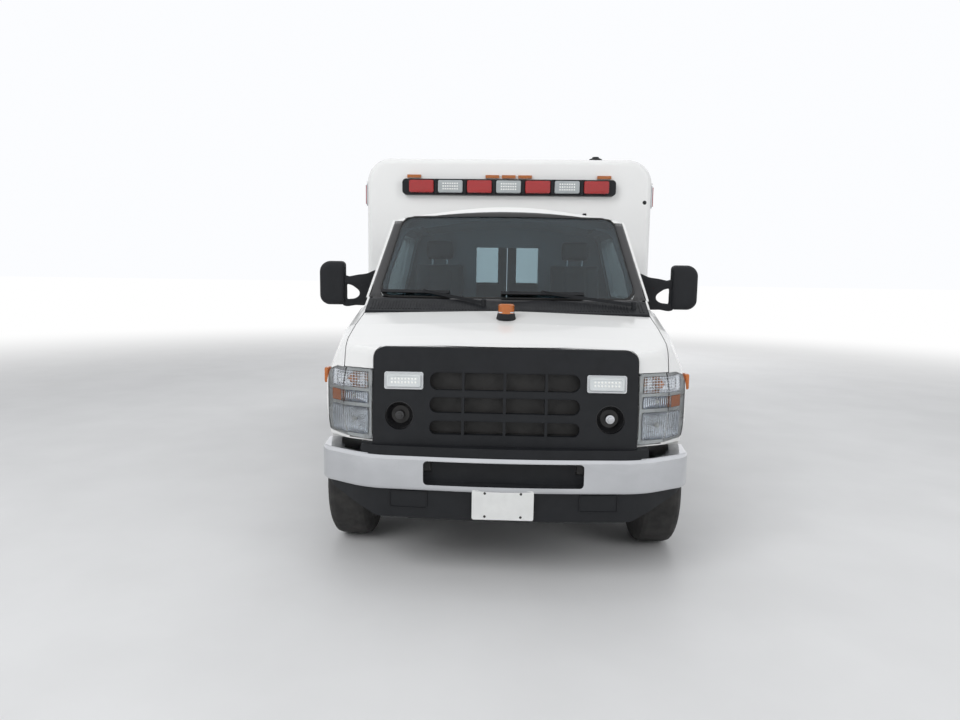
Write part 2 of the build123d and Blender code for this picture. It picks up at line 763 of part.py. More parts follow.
def dished_rim_face(hub_out, side):
    """Half section of a twin wheel, whose deep dish reaches the middle of the pair."""
    half = rim_width / 2
    inner = rim_radius - 12
    seat = rim_radius - 0.5
    flange = rim_radius + 14
    face = -twin_spacing / 2
    bore = spindle_radius + running_gap
    points = [
        (bore, face), (120, face), (inner, -half), (flange, -half), (flange, -half + 10), (seat, -half + 10),
        (seat, half - 10), (flange, half - 10), (flange, half), (inner, half), (inner, 20 - half), (112, face + 14),
    ]
    if hub_out > face + 14:
        points = points + [(72, face + 14), (66, hub_out), (bore, hub_out)]
    else:
        points = points + [(bore, face + 14)]
    return make_face(Polyline(*[(r, offset * side) for r, offset in points], close=True))


hand_holes = 8
hand_hole_radius = 15
hand_hole_circle = 145


def rim(face, centre_x):
    """One wheel with a ring of hand holes."""
    wheel = turned_x(face, centre_x)
    for index in range(hand_holes):
        angle = 2 * pi * index / hand_holes
        place = Pos(centre_x, hand_hole_circle * cos(angle), hand_hole_circle * sin(angle))
        wheel = wheel - place * Rot(0, 90, 0) * Cylinder(hand_hole_radius, 2 * rim_width)
    return wheel


def make_wheels():
    """Front wheels on their knuckles and rear twin wheels, left and right."""
    front_place = Pos(0, y_at(front_axle_d), tyre_radius)
    rear_place = Pos(0, y_at(rear_axle_d), tyre_radius)
    tyre = front_place * make_tyre(front_wheel_x)
    cap = front_place * cylinder_here(62, front_wheel_x + 60, front_wheel_x + 66)
    wheel = front_place * rim(rim_face(48, -5, 60), front_wheel_x) + cap
    save(tyre, "tyre_front_left")
    save(mirrored(tyre), "tyre_front_right")
    save(wheel, "wheel_front_left")
    save(mirrored(wheel), "wheel_front_right")
    outer_x = rear_wheel_x + twin_spacing / 2
    inner_x = rear_wheel_x - twin_spacing / 2
    outer = rim(dished_rim_face(-20, 1), outer_x)
    inner = rim(dished_rim_face(-twin_spacing / 2, -1), inner_x)
    end = cylinder_here(66, outer_x - 21, outer_x - 15)
    twin_wheel = rear_place * (outer + inner + end)
    twin_tyres = Compound(children=list((rear_place * make_tyre(outer_x)).solids())
                          + list((rear_place * make_tyre(inner_x)).solids()))
    save(twin_tyres, "tyres_rear_left")
    save(mirrored(twin_tyres), "tyres_rear_right")
    save(twin_wheel, "wheels_rear_left")
    save(mirrored(twin_wheel), "wheels_rear_right")


def cylinder_here(radius, x0, x1):
    """Cylinder across the vehicle about the origin."""
    return Pos((x0 + x1) / 2, 0, 0) * Rot(0, 90, 0) * Cylinder(radius, x1 - x0)


def make_knuckles():
    """Forked knuckle with its kingpin, brake disc and wheel spindle."""
    d = front_axle_d
    z = tyre_radius
    fork = cylinder_z(34, kingpin_x, d, 395 + running_gap, 440) + cylinder_z(34, kingpin_x, d, 300, 345 - running_gap)
    fork = fork + cylinder_z(14, kingpin_x, d, 300, 440)
    web = block(kingpin_x + 5, kingpin_x + 60, d - 30, d + 30, 300, 440)
    web = web - cylinder_z(37, kingpin_x, d, 345 - running_gap, 395 + running_gap)
    disc = cylinder_x(150, kingpin_x + 45, kingpin_x + 70, d, z)
    spindle = cylinder_x(spindle_radius, kingpin_x + 60, front_wheel_x + 55, d, z)
    arm = block(kingpin_x - 15, kingpin_x + 15, d + 20, d + 140, 300, 325)
    knuckle = fork + web + disc + spindle + arm
    save(knuckle, "knuckle_left")
    save(mirrored(knuckle), "knuckle_right")


# Module

def module_form():
    """The closed outer form of the box."""
    points = [
        (-module_half_width, module_bottom_z), (module_half_width, module_bottom_z),
        (module_half_width, module_top_z), (-module_half_width, module_top_z),
    ]
    form = front_slab(points, cab_back, module_rear_d, [0, 0, roof_corner, roof_corner])
    ends = form.faces().sort_by(Axis.Y)
    edges = ends[0].edges() + ends[-1].edges()
    keep = [edge for edge in edges if edge.center().Z > module_bottom_z + 5]
    return fillet(keep, end_edge_radius)


def module_core():
    """The closed inner form of the box between its end walls."""
    inner_corner = roof_corner - side_wall
    top = module_top_z - side_wall
    points = [
        (-module_inner_x, module_bottom_z - 50), (module_inner_x, module_bottom_z - 50),
        (module_inner_x, top), (-module_inner_x, top),
    ]
    return front_slab(points, cab_back + end_wall, module_rear_d - end_wall, [0, 0, inner_corner, inner_corner])


# Door sizes in the module's side walls: front edge, rear edge, lower edge, upper edge
SIDE_DOOR = (2620, 3380, 560, roof_split_z - 110)
LEFT_COMPARTMENT = (2550, 3150, 530, roof_split_z - 210)
RIGHT_COMPARTMENT = (5150, 5850, 530, roof_split_z - 210)
compartment_depth = 480
compartment_sheet = 18
rear_door_half_width = 652
rear_door_low_z = 843
rear_door_high_z = roof_split_z - 68
window_glass = 6


def side_opening(door, grow, side, x0, x1):
    """Block over a side wall door, larger by grow."""
    front_d, rear_d, low_z, high_z = door
    return block(side * x0, side * x1, front_d - grow, rear_d + grow, low_z - grow, high_z + grow)


def side_jamb(door, side):
    """Frame inside the wall that a door closes against."""
    return jamb_space(door, side) - side_opening(door, -jamb_overlap, side, 900, 1200)


def jamb_space(door, side):
    """Whole area of a door's frame."""
    return side_opening(door, door_gap + jamb_overlap, side, module_inner_x - jamb_thickness, module_inner_x)


def side_panel(door, side):
    """A flat door as thick as the wall, less its seat."""
    return side_opening(door, 0, side, module_inner_x + seat_gap, module_half_width)


# Door hinges: each is a row of round knuckles on the door's axis
hinge_radius = 9
hinge_length = 90
hinge_clearance = 1
SIDE_HINGE_Z = (700, 1380, 2050)
LOCKER_HINGE_Z = (650, 1300, 1950)
REAR_HINGE_Z = (960, 1540, 2110)


def hinge_knuckles(x, d, heights, grow=0):
    """Round hinge knuckles on an upright axis, or the larger space that they turn in."""
    knuckles = [
        cylinder_z(hinge_radius + grow, x, d, z - hinge_length / 2 - grow, z + hinge_length / 2 + grow)
        for z in heights
    ]
    return Compound(children=knuckles)


def make_module():
    """Walls, roof, floor and doors of the box."""
    box = module_form() - module_core()
    front = box & block(-1300, 1300, cab_back - 10, cab_back + end_wall, 0, 2600)
    front = front - block(-950, 950, 2200, 2400, 400, rail_top_z) - block(-250, 250, 2200, 2400, 1050, 1800)
    rear = box & block(-1300, 1300, module_rear_d - end_wall, module_rear_d + 10, 0, 2600)
    rear = rear - block(-950, 950, 6000, 6200, 400, rail_top_z)
    rear_jamb = block(-rear_door_half_width - 28, rear_door_half_width + 28, module_rear_d - end_wall - jamb_thickness,
                      module_rear_d - end_wall, module_floor_z + 1, rear_door_high_z + 28)
    rear_jamb = rear_jamb - block(-rear_door_half_width + 20, rear_door_half_width - 20, 6000, 6200,
                                  rear_door_low_z + 20, rear_door_high_z - 20)
    rear = rear + rear_jamb - block(-rear_door_half_width - door_gap, rear_door_half_width + door_gap,
                                    module_rear_d - end_wall, 6200, rear_door_low_z - door_gap,
                                    rear_door_high_z + door_gap)
    between = block(-1300, 1300, cab_back + end_wall, module_rear_d - end_wall, 0, 2600)
    middle = box & between
    roof = middle & block(-1300, 1300, 2000, 6200, roof_split_z, 2600)
    low = block(0, 1300, 2000, 6200, 0, roof_split_z)
    left = middle & low
    right = middle & mirrored(low)
    left = left - cylinder_x(module_arch_radius, 1000, 1300, rear_axle_d, tyre_radius)
    right = right - cylinder_x(module_arch_radius, -1300, -1000, rear_axle_d, tyre_radius)
    left = left - side_opening(LEFT_COMPARTMENT, door_gap, 1, 1000, 1300) + side_jamb(LEFT_COMPARTMENT, 1)
    for door in (SIDE_DOOR, RIGHT_COMPARTMENT):
        right = right - side_opening(door, door_gap, -1, 1000, 1300) + side_jamb(door, -1)
    for x in (rear_door_half_width, -rear_door_half_width):
        rear = rear - hinge_knuckles(x, module_rear_d, REAR_HINGE_Z, hinge_clearance)
    left = left - hinge_knuckles(module_half_width, LEFT_COMPARTMENT[0], LOCKER_HINGE_Z, hinge_clearance)
    right = right - hinge_knuckles(-module_half_width, RIGHT_COMPARTMENT[0], LOCKER_HINGE_Z, hinge_clearance)
    right = right - hinge_knuckles(-module_half_width, SIDE_DOOR[0], SIDE_HINGE_Z, hinge_clearance)
    save(front, "module_front_wall")
    save(rear, "module_rear_wall")
    save(roof, "module_roof")
    save(left, "module_left_wall")
    save(right, "module_right_wall")
    make_module_floor()
    make_module_doors()


def liner(door, side):
    """Open-fronted locker behind an outside door, as (outer, inner) blocks."""
    front_x = module_inner_x - jamb_thickness
    outer = side_opening(door, compartment_sheet, side, front_x - compartment_depth, front_x)
    inner = side_opening(door, 0, side, front_x - compartment_depth + compartment_sheet, front_x + 10)
    return outer, inner


def make_module_floor():
    """Floor with the side door's step well, cut round the lockers."""
    floor = block(-module_inner_x, module_inner_x, cab_back + end_wall, module_rear_d - end_wall,
                  module_floor_z - module_floor_sheet, module_floor_z)
    front_d, rear_d, low_z, high_z = SIDE_DOOR
    well_x = -module_inner_x + jamb_thickness
    well = block(well_x, -780, front_d, rear_d, low_z - 20, module_floor_z)
    hollow = block(well_x - 30, -800, front_d + 20, rear_d - 20, low_z, module_floor_z + 10)
    floor = floor + well - hollow
    for door, side in ((LEFT_COMPARTMENT, 1), (RIGHT_COMPARTMENT, -1)):
        outer, inner = liner(door, side)
        floor = floor - outer - jamb_space(door, side)
    floor = floor - jamb_space(SIDE_DOOR, -1)
    save(floor, "module_floor")


def make_lockers():
    """The two lockers as solids."""
    lockers = []
    for door, side in ((LEFT_COMPARTMENT, 1), (RIGHT_COMPARTMENT, -1)):
        outer, inner = liner(door, side)
        lockers.append((outer - inner).solid())
    return lockers


def make_module_doors():
    """Side door, rear doors and locker doors, with their glass."""
    window = block(-1300, -1000, 2740, 3260, 1480, 2020)
    pane = block(-module_half_width + 12, -module_half_width + 12 + window_glass, 2740, 3260, 1480, 2020)
    side_hinge = hinge_knuckles(-module_half_width, SIDE_DOOR[0], SIDE_HINGE_Z)
    left_hinge = hinge_knuckles(module_half_width, LEFT_COMPARTMENT[0], LOCKER_HINGE_Z)
    right_hinge = hinge_knuckles(-module_half_width, RIGHT_COMPARTMENT[0], LOCKER_HINGE_Z)
    save(side_panel(SIDE_DOOR, -1) - window + side_hinge, "side_door")
    save(pane, "side_door_glass")
    save(side_panel(LEFT_COMPARTMENT, 1) + left_hinge, "locker_door_left")
    save(side_panel(RIGHT_COMPARTMENT, -1) + right_hinge, "locker_door_right")
    door = block(4, rear_door_half_width, module_rear_d - end_wall + seat_gap, module_rear_d,
                 rear_door_low_z, rear_door_high_z)
    hole = block(110, 545, 6000, 6200, 1480, 2080)
    glass = block(110, 545, module_rear_d - 18, module_rear_d - 12, 1480, 2080)
    door = door - hole + hinge_knuckles(rear_door_half_width, module_rear_d, REAR_HINGE_Z)
    save(door, "rear_door_left")
    save(mirrored(door), "rear_door_right")
    save(glass, "rear_glass_left")
    save(mirrored(glass), "rear_glass_right")


def make_cabinets():
    """Cupboards along the left wall and the bench on the right."""
    base = block(650, module_inner_x, 3250, 5950, module_floor_z, 1280)
    base = base - block(640, 1050, 3290, 4200, 880, 1240) - block(640, 1050, 4240, 5910, 880, 1240)
    top_z = roof_split_z - 70
    upper = block(780, module_inner_x, 3250, 5950, top_z - 440, top_z)
    for front_d in (3280, 4620):
        upper = upper - block(770, 1050, front_d, front_d + 1300, top_z - 410, top_z - 30)
    bench = block(-module_inner_x, -560, 3480, 5080, module_floor_z, 1230)
    cushion = fillet(block(-module_inner_x + 5, -550, 3480, 5080, 1230, 1310).edges(), 20)
    lockers = make_lockers()
    save(Compound(children=[base.solid(), upper.solid(), bench.solid()] + lockers), "module_cabinets")
    save(cushion, "bench_cushion")


light_bar_half = 845
light_bar_low_z = module_top_z - 293
light_bar_high_z = light_bar_low_z + 122
light_bar_depth = 90
head_pitch = 230
head_count = 7
head_width = 196
head_height = 96


def make_light_bar():
    """Long lamp housing on the front wall with a row of seven heads."""
    bar = block(-light_bar_half, light_bar_half, cab_back - 62, cab_back, light_bar_low_z, light_bar_high_z)
    bar = fillet(bar.edges().filter_by(Axis.Y), 30)
    heads = []
    centre_z = (light_bar_low_z + light_bar_high_z) / 2
    for index in range(head_count):
        x = (index - (head_count - 1) / 2) * head_pitch
        head = block(x - head_width / 2, x + head_width / 2, cab_back - light_bar_depth, cab_back - 45,
                     centre_z - head_height / 2, centre_z + head_height / 2)
        heads.append(fillet(head.edges().filter_by(Axis.Y), 14).solid())
        bar = bar - heads[-1]
    save(Compound(children=[bar.solid(), make_antenna().solid()]), "roof_equipment")
    save(Compound(children=heads), "light_bar_heads")


# Lamps on the module's front and rear: x, z, width, height
marker_z = light_bar_high_z + 26
rear_warning_z = roof_split_z - 150
FRONT_MARKERS = [(x, marker_z, 110, 24) for x in (-757, -130, 0, 130, 757)]
REAR_LAMPS = [(960, rear_warning_z, 230, 150), (-960, rear_warning_z, 230, 150), (980, 700, 150, 150),
              (-980, 700, 150, 150), (980, 880, 150, 150), (-980, 880, 150, 150)]
# Lamps on the sides: distance, z, width, height
SIDE_LAMPS = [(d, roof_split_z - 90, 230, 150) for d in (2465, 4250, 5880)]
lamp_depth = 18


def make_module_lamps():
    """Marker, warning, scene and tail lamps set on the walls."""
    lamps = []
    for x, z, width, height in FRONT_MARKERS:
        lamps.append(block(x - width / 2, x + width / 2, cab_back - lamp_depth, cab_back, z - height / 2,
                           z + height / 2))
    for x, z, width, height in REAR_LAMPS:
        lamps.append(block(x - width / 2, x + width / 2, module_rear_d, module_rear_d + lamp_depth,
                           z - height / 2, z + height / 2))
    for d, z, width, height in SIDE_LAMPS:
        for side in (1, -1):
            lamps.append(block(side * module_half_width, side * (module_half_width + lamp_depth),
                               d - width / 2, d + width / 2, z - height / 2, z + height / 2))
    save(Compound(children=[lamp.solid() for lamp in lamps]), "module_lamps")


def make_antenna():
    """Low round antenna base on the roof's front edge."""
    puck = Pos(700, y_at(2420), module_top_z) * Cone(38, 26, 34, align=(Align.CENTER, Align.CENTER, Align.MIN))
    return puck


def make_steps():
    """Rear step with its two brackets, and a running board under each cab door."""
    tread = block(-1000, 1000, module_rear_d, overall_length, 470, 500)
    for side in (1, -1):
        tread = tread + block(side * 370, side * 430, module_rear_d - 100, overall_length - 40, 440, 470)
        tread = tread + block(side * 370, side * 430, module_rear_d - 100, module_rear_d - 30, 440, rail_bottom_z)
    board = block(850, 1060, 1300, 2280, 400, 430)
    hanger = block(860, 900, 1500, 1560, 430, 760) + block(860, 900, 2100, 2160, 430, 760)
    boards = both_sides(board + hanger)
    save(Compound(children=[tread.solid()] + list(boards.solids())), "steps")


def make_flares():
    """Arched flares round the rear wheels."""
    ring = cylinder_x(module_arch_radius + 55, module_half_width, 1225, rear_axle_d, tyre_radius)
    ring = ring - cylinder_x(module_arch_radius, 1100, 1300, rear_axle_d, tyre_radius)
    flare = ring & block(1100, 1300, 3500, 5200, module_bottom_z, 1000)
    save(both_sides(flare), "wheel_flares")


mirror_lead = 60
mirror_depth = 70
mirror_inner_x = 1068
mirror_width = 167
mirror_bottom_z = 1369
mirror_top_z = 1656
# Mirror arms: lower edge, height
MIRROR_ARMS = [(1542, 34), (1432, 25)]


def make_mirrors():
    """Tall mirror head on two arms at the front corner of each door window."""
    front_d = door_front_d - mirror_lead
    rear_d = front_d + mirror_depth
    outer_x = mirror_inner_x + mirror_width
    head = fillet(block(mirror_inner_x, outer_x, front_d, rear_d, mirror_bottom_z, mirror_top_z).edges(), 22)
    for arm_z, arm_height in MIRROR_ARMS:
        points = [
            (mirror_inner_x + 30, front_d + 20),
            (mirror_inner_x + 30, rear_d - 20),
            (840, door_front_d + 75),
            (840, door_front_d + 40),
        ]
        head = head + plan_slab(points, arm_z, arm_z + arm_height)
    mirror_part = head - cabin_outer
    save(mirror_part, "mirror_left")
    save(mirrored(mirror_part), "mirror_right")


def main():
    os.makedirs("parts", exist_ok=True)
    make_bumper()
    make_bumper_trim()
    make_frame()
    make_suspension()
    make_rear_axle()
    make_engine()
    make_fuel_tank()
    make_exhaust()
    make_grille()
    make_radiator_support()
    make_speakers()
    make_grille_lamps()
    make_headlamps()
    make_fenders()
    make_hood()
    make_beacon()
    make_cowl()
    make_cab_shell()
    make_screen()
    floor = make_cab_floor()
    make_dashboard(floor)
    make_cab_seats()
    make_cab_doors()
    make_mirrors()
    make_module()
    make_cabinets()
    make_light_bar()
    make_module_lamps()
    make_steps()
    make_flares()
    make_wheels()
    make_knuckles()


main()
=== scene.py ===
import json
from math import cos, pi, radians, sin, sqrt, tan

import bmesh
import bpy
from mathutils import Matrix, Vector
from mathutils.bvhtree import BVHTree


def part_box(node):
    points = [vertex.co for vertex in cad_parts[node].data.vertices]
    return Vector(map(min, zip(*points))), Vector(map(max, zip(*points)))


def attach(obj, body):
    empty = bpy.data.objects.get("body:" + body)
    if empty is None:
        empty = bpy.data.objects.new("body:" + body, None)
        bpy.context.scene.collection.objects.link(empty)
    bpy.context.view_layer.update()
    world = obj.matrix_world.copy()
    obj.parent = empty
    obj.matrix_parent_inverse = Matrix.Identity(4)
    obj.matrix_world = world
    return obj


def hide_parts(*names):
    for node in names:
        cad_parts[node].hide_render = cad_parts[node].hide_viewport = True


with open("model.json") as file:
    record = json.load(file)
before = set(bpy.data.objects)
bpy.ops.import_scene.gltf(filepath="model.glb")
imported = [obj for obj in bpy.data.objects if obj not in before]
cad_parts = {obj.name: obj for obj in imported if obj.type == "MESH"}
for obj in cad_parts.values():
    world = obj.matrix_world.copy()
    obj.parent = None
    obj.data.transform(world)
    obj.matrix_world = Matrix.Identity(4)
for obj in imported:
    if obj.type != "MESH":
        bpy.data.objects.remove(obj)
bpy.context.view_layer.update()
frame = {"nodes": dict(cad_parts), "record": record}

# All sizes are in metres. A distance, called d, is measured back from the bumper's face
FRONT_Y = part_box("front_bumper")[0][1]
MODULE_FRONT_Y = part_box("module_front_wall")[0][1]
MODULE_REAR_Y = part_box("module_rear_wall")[1][1]
MODULE_HALF_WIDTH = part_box("module_roof")[1][0]
CHASSIS = "chassis"
SIDES = (("left", 1), ("right", -1))

# The windscreen's curve and the doors' edges, as the model has them
SCREEN_BASE_D = 0.830
SCREEN_BASE_Z = 1.430
SCREEN_RISE = 0.570
SCREEN_RUN = 0.490
SCREEN_RADIUS = 2.600
SCREEN_HALF_THICKNESS = 0.004
DOOR_FRONT_D = 1.255
DOOR_REAR_D = 2.185

# Half width of the cab's side at each height
CAB_SIDE = [(0.560, 0.965), (0.850, 1.005), (1.020, 1.005), (1.385, 0.885), (1.945, 0.768)]
# Half width of the nose at each distance
NOSE_SIDE = [(0.125, 0.660), (0.200, 0.835), (0.300, 0.945), (0.480, 0.990), (0.870, 1.005)]
# Height and distance of the grille's lower and upper edge
GRILLE_LOW = (0.724, 0.080)
GRILLE_HIGH = (1.210, 0.120)


def y_at(d):
    """Y of a point that lies d behind the bumper face."""
    return FRONT_Y + d


def lerp(a, b, share):
    """Number at a share of the way from a to b."""
    return a + (b - a) * share


def along(table, key):
    """Value at a key, between the rows of a table of keys and values."""
    for low, high in zip(table, table[1:]):
        if key <= high[0]:
            share = max(0.0, (key - low[0]) / (high[0] - low[0]))
            return lerp(low[1], high[1], share)
    return table[-1][1]


def side_x(z):
    """Half width of the cab at a height."""
    return along(CAB_SIDE, z)


def grille_d(z):
    """Distance of the grille's face at a height."""
    share = (z - GRILLE_LOW[0]) / (GRILLE_HIGH[0] - GRILLE_LOW[0])
    return lerp(GRILLE_LOW[1], GRILLE_HIGH[1], share)


def on_grille(x, z, lift=0.0):
    """Point on the grille's slanted face, lifted forwards."""
    return Vector((x, y_at(grille_d(z) - lift), z))


def screen_point(x, z, lift=0.0):
    """Point on the windscreen's curved face at an x and height, lifted outwards."""
    slope = Vector((0, SCREEN_RUN, SCREEN_RISE)).normalized()
    outward = Vector((0, -SCREEN_RISE, SCREEN_RUN)).normalized()
    radius = SCREEN_RADIUS - SCREEN_HALF_THICKNESS + lift
    depth = sqrt(radius * radius - x * x) - SCREEN_RADIUS
    base = Vector((0, y_at(SCREEN_BASE_D), SCREEN_BASE_Z)) + outward * depth
    climb = (z - base.z) / slope.z
    point = base + slope * climb
    return Vector((x, point.y, z))


# Materials

class Look:
    """A node material with a few shorthand calls."""

    def __init__(self, name):
        self.material = bpy.data.materials.new(name)
        self.material.use_nodes = True
        self.nodes = self.material.node_tree.nodes
        self.links = self.material.node_tree.links
        self.shader = self.nodes["Principled BSDF"]
        coordinates = self.nodes.new("ShaderNodeTexCoord")
        self.place = coordinates.outputs["Object"]

    def set(self, **values):
        names = {"color": "Base Color", "metal": "Metallic", "rough": "Roughness", "ior": "IOR",
                 "coat": "Coat Weight", "coat_rough": "Coat Roughness", "through": "Transmission Weight",
                 "spec": "Specular IOR Level", "sheen": "Sheen Weight"}
        for key, value in values.items():
            socket = self.shader.inputs[names[key]]
            socket.default_value = (*value, 1) if isinstance(value, tuple) else value
        return self

    def noise(self, scale, detail=3.0, stretch=(1, 1, 1)):
        mapping = self.nodes.new("ShaderNodeMapping")
        mapping.inputs["Scale"].default_value = stretch
        texture = self.nodes.new("ShaderNodeTexNoise")
        texture.inputs["Scale"].default_value = scale
        texture.inputs["Detail"].default_value = detail
        self.links.new(self.place, mapping.inputs["Vector"])
        self.links.new(mapping.outputs["Vector"], texture.inputs["Vector"])
        return texture.outputs["Fac"]

    def cells(self, scale, feature="F1"):
        texture = self.nodes.new("ShaderNodeTexVoronoi")
        texture.feature = feature
        texture.inputs["Scale"].default_value = scale
        self.links.new(self.place, texture.inputs["Vector"])
        return texture.outputs["Distance"]

    def waves(self, scale, direction="X", distort=0.0):
        texture = self.nodes.new("ShaderNodeTexWave")
        texture.bands_direction = direction
        texture.inputs["Scale"].default_value = scale
        texture.inputs["Distortion"].default_value = distort
        self.links.new(self.place, texture.inputs["Vector"])
        return texture.outputs["Fac"]

    def ramp(self, source, stops, socket="Base Color"):
        """Feeds a socket through a ramp of (position, grey or colour) stops."""
        ramp = self.nodes.new("ShaderNodeValToRGB")
        elements = ramp.color_ramp.elements
        while len(elements) < len(stops):
            elements.new(0.5)
        for element, (position, value) in zip(elements, stops):
            element.position = position
            element.color = (*value, 1) if isinstance(value, tuple) else (value, value, value, 1)
        self.links.new(source, ramp.inputs["Fac"])
        self.links.new(ramp.outputs["Color"], self.shader.inputs[socket])
        return self

    def bump(self, source, strength, distance=0.001):
        bump = self.nodes.new("ShaderNodeBump")
        bump.inputs["Strength"].default_value = strength
        bump.inputs["Distance"].default_value = distance
        previous = self.shader.inputs["Normal"]
        if previous.is_linked:
            self.links.new(previous.links[0].from_socket, bump.inputs["Normal"])
        self.links.new(source, bump.inputs["Height"])
        self.links.new(bump.outputs["Normal"], self.shader.inputs["Normal"])
        return self


def shade(color, factor):
    """A colour made lighter or darker."""
    return tuple(min(1.0, c * factor) for c in color)


def varied(name, color, rough, spread=0.06, scale=6.0, metal=0.0, grain=0.0, grain_scale=400.0, coat=0.0,
           spec=0.5):
    """A surface whose colour and roughness drift a little, with an optional fine grain."""
    look = Look(name).set(metal=metal, coat=coat, spec=spec)
    drift = look.noise(scale, 4.0)
    look.ramp(drift, [(0.35, shade(color, 1 - spread)), (0.65, shade(color, 1 + spread * 0.4))])
    look.ramp(look.noise(scale * 3, 3.0), [(0.3, max(0.02, rough - 0.05)), (0.7, rough + 0.07)],
              "Roughness")
    if grain:
        look.bump(look.noise(grain_scale, 2.0), grain, 0.0006)
    return look


# Heights between which the dirt on the paint fades out
DIRT_FROM_Z = 0.35
DIRT_TO_Z = 0.95


def make_paint():
    """White coach paint: a clear coat over faint ripple, with a little dirt low down."""
    look = Look("white_paint").set(coat=0.6, coat_rough=0.06)
    height = look.nodes.new("ShaderNodeSeparateXYZ")
    look.links.new(look.place, height.inputs["Vector"])
    mix = look.nodes.new("ShaderNodeMix")
    mix.data_type = "RGBA"
    fade = look.nodes.new("ShaderNodeMapRange")
    fade.inputs["From Min"].default_value = DIRT_FROM_Z
    fade.inputs["From Max"].default_value = DIRT_TO_Z
    fade.inputs["To Min"].default_value = 1.0
    fade.inputs["To Max"].default_value = 0.0
    look.links.new(height.outputs["Z"], fade.inputs["Value"])
    spots = look.noise(14.0, 6.0)
    product = look.nodes.new("ShaderNodeMath")
    product.operation = "MULTIPLY"
    look.links.new(fade.outputs["Result"], product.inputs[0])
    look.links.new(spots, product.inputs[1])
    look.links.new(product.outputs[0], mix.inputs["Factor"])
    mix.inputs["A"].default_value = (0.80, 0.805, 0.80, 1)
    mix.inputs["B"].default_value = (0.50, 0.49, 0.46, 1)
    look.links.new(mix.outputs["Result"], look.shader.inputs["Base Color"])
    look.ramp(look.noise(5.0, 3.0), [(0.2, 0.24), (0.8, 0.28)], "Roughness")
    look.bump(look.noise(40.0, 2.0), 0.015, 0.001)
    return look.material


def make_glass(name, color, rough=0.0):
    look = Look(name).set(color=color, through=1.0, ior=1.45, rough=rough)
    look.bump(look.noise(3.0, 2.0), 0.02, 0.001)
    look.ramp(look.noise(2.0, 2.0), [(0.3, shade(color, 0.94)), (0.7, color)])
    return look.material


def make_lens(name, color, through, rough=0.08):
    """Moulded lamp lens with fine upright flutes."""
    look = Look(name).set(through=through, ior=1.49, rough=rough, coat=0.5)
    look.ramp(look.noise(9.0, 3.0), [(0.3, shade(color, 0.9)), (0.7, color)])
    look.bump(look.waves(60.0, "X"), 0.35, 0.002)
    return look.material


def make_fluted_reflector():
    """Bright bowl pressed with upright flutes, which break its reflection into stripes."""
    look = varied("fluted_reflector", (0.62, 0.66, 0.72), 0.1, 0.08, 30.0, metal=1.0)
    look.bump(look.waves(26.0, "X", 0.6), 0.9, 0.006)
    return look.material


def make_tyre_rubber():
    look = Look("tyre_rubber").set(metal=0.0)
    look.ramp(look.noise(12.0, 6.0), [(0.3, (0.018, 0.018, 0.018)), (0.7, (0.045, 0.043, 0.041))])
    look.ramp(look.noise(30.0, 3.0), [(0.3, 0.75), (0.7, 0.92)], "Roughness")
    look.bump(look.noise(350.0, 3.0), 0.25, 0.0008)
    return look.material


def make_tread_plate():
    look = Look("tread_plate").set(metal=1.0)
    look.ramp(look.noise(10.0, 4.0), [(0.3, (0.50, 0.51, 0.52)), (0.7, (0.66, 0.67, 0.68))])
    look.ramp(look.noise(40.0, 4.0), [(0.3, 0.28), (0.7, 0.45)], "Roughness")
    look.bump(look.cells(70.0), 0.3, 0.002)
    return look.material


def make_vinyl():
    look = Look("grey_vinyl").set(sheen=0.1)
    look.ramp(look.noise(8.0, 4.0), [(0.3, (0.115, 0.12, 0.125)), (0.7, (0.15, 0.155, 0.16))])
    look.ramp(look.noise(60.0, 3.0), [(0.3, 0.42), (0.7, 0.58)], "Roughness")
    look.bump(look.cells(900.0), 0.35, 0.0006)
    return look.material


# Finishes that drift: colour, roughness, spread of the colour, scale of the drift, and what else is set
DRIFTING = {
    "chrome": ((0.60, 0.61, 0.63), 0.07, 0.05, 5.0, {"metal": 1.0}),
    # Radiator black, made darker than its real finish as painted shade in the grille's slots
    "radiator_black_and_shade": ((0.004, 0.004, 0.004), 0.9, 0.2, 20.0, {"spec": 0.1}),
    "black_plastic": ((0.010, 0.011, 0.013), 0.5, 0.15, 8.0, {"grain": 0.2, "spec": 0.3}),
    "gloss_black": ((0.012, 0.012, 0.013), 0.16, 0.1, 8.0, {"coat": 0.4}),
    "rubber": ((0.02, 0.02, 0.02), 0.7, 0.2, 20.0, {"grain": 0.2}),
    "chassis_black": ((0.03, 0.029, 0.028), 0.55, 0.25, 10.0, {"grain": 0.3, "grain_scale": 120.0}),
    "cast_iron": ((0.075, 0.07, 0.066), 0.65, 0.3, 14.0,
                  {"metal": 0.6, "grain": 0.5, "grain_scale": 160.0}),
    "wheel_steel": ((0.62, 0.63, 0.64), 0.24, 0.08, 9.0, {"metal": 1.0, "grain": 0.05}),
    "grey_trim": ((0.16, 0.16, 0.165), 0.6, 0.1, 8.0, {"grain": 0.4, "grain_scale": 600.0}),
    "cabinet_white": ((0.66, 0.66, 0.63), 0.4, 0.05, 5.0, {"grain": 0.05}),
    "reflector": ((0.66, 0.68, 0.72), 0.12, 0.06, 30.0, {"metal": 1.0, "grain": 0.35, "grain_scale": 90.0}),
    "clear_edge": ((0.62, 0.65, 0.66), 0.2, 0.05, 12.0, {"coat": 0.5}),
    "smoked_clear": ((0.36, 0.39, 0.40), 0.2, 0.08, 12.0, {"coat": 0.5}),
    "led": ((0.85, 0.86, 0.84), 0.2, 0.05, 40.0, {}),
    "mirror_glass": ((0.85, 0.87, 0.88), 0.03, 0.02, 3.0, {"metal": 1.0}),
    "plate_white": ((0.74, 0.75, 0.74), 0.35, 0.04, 20.0, {"grain": 0.05}),
}


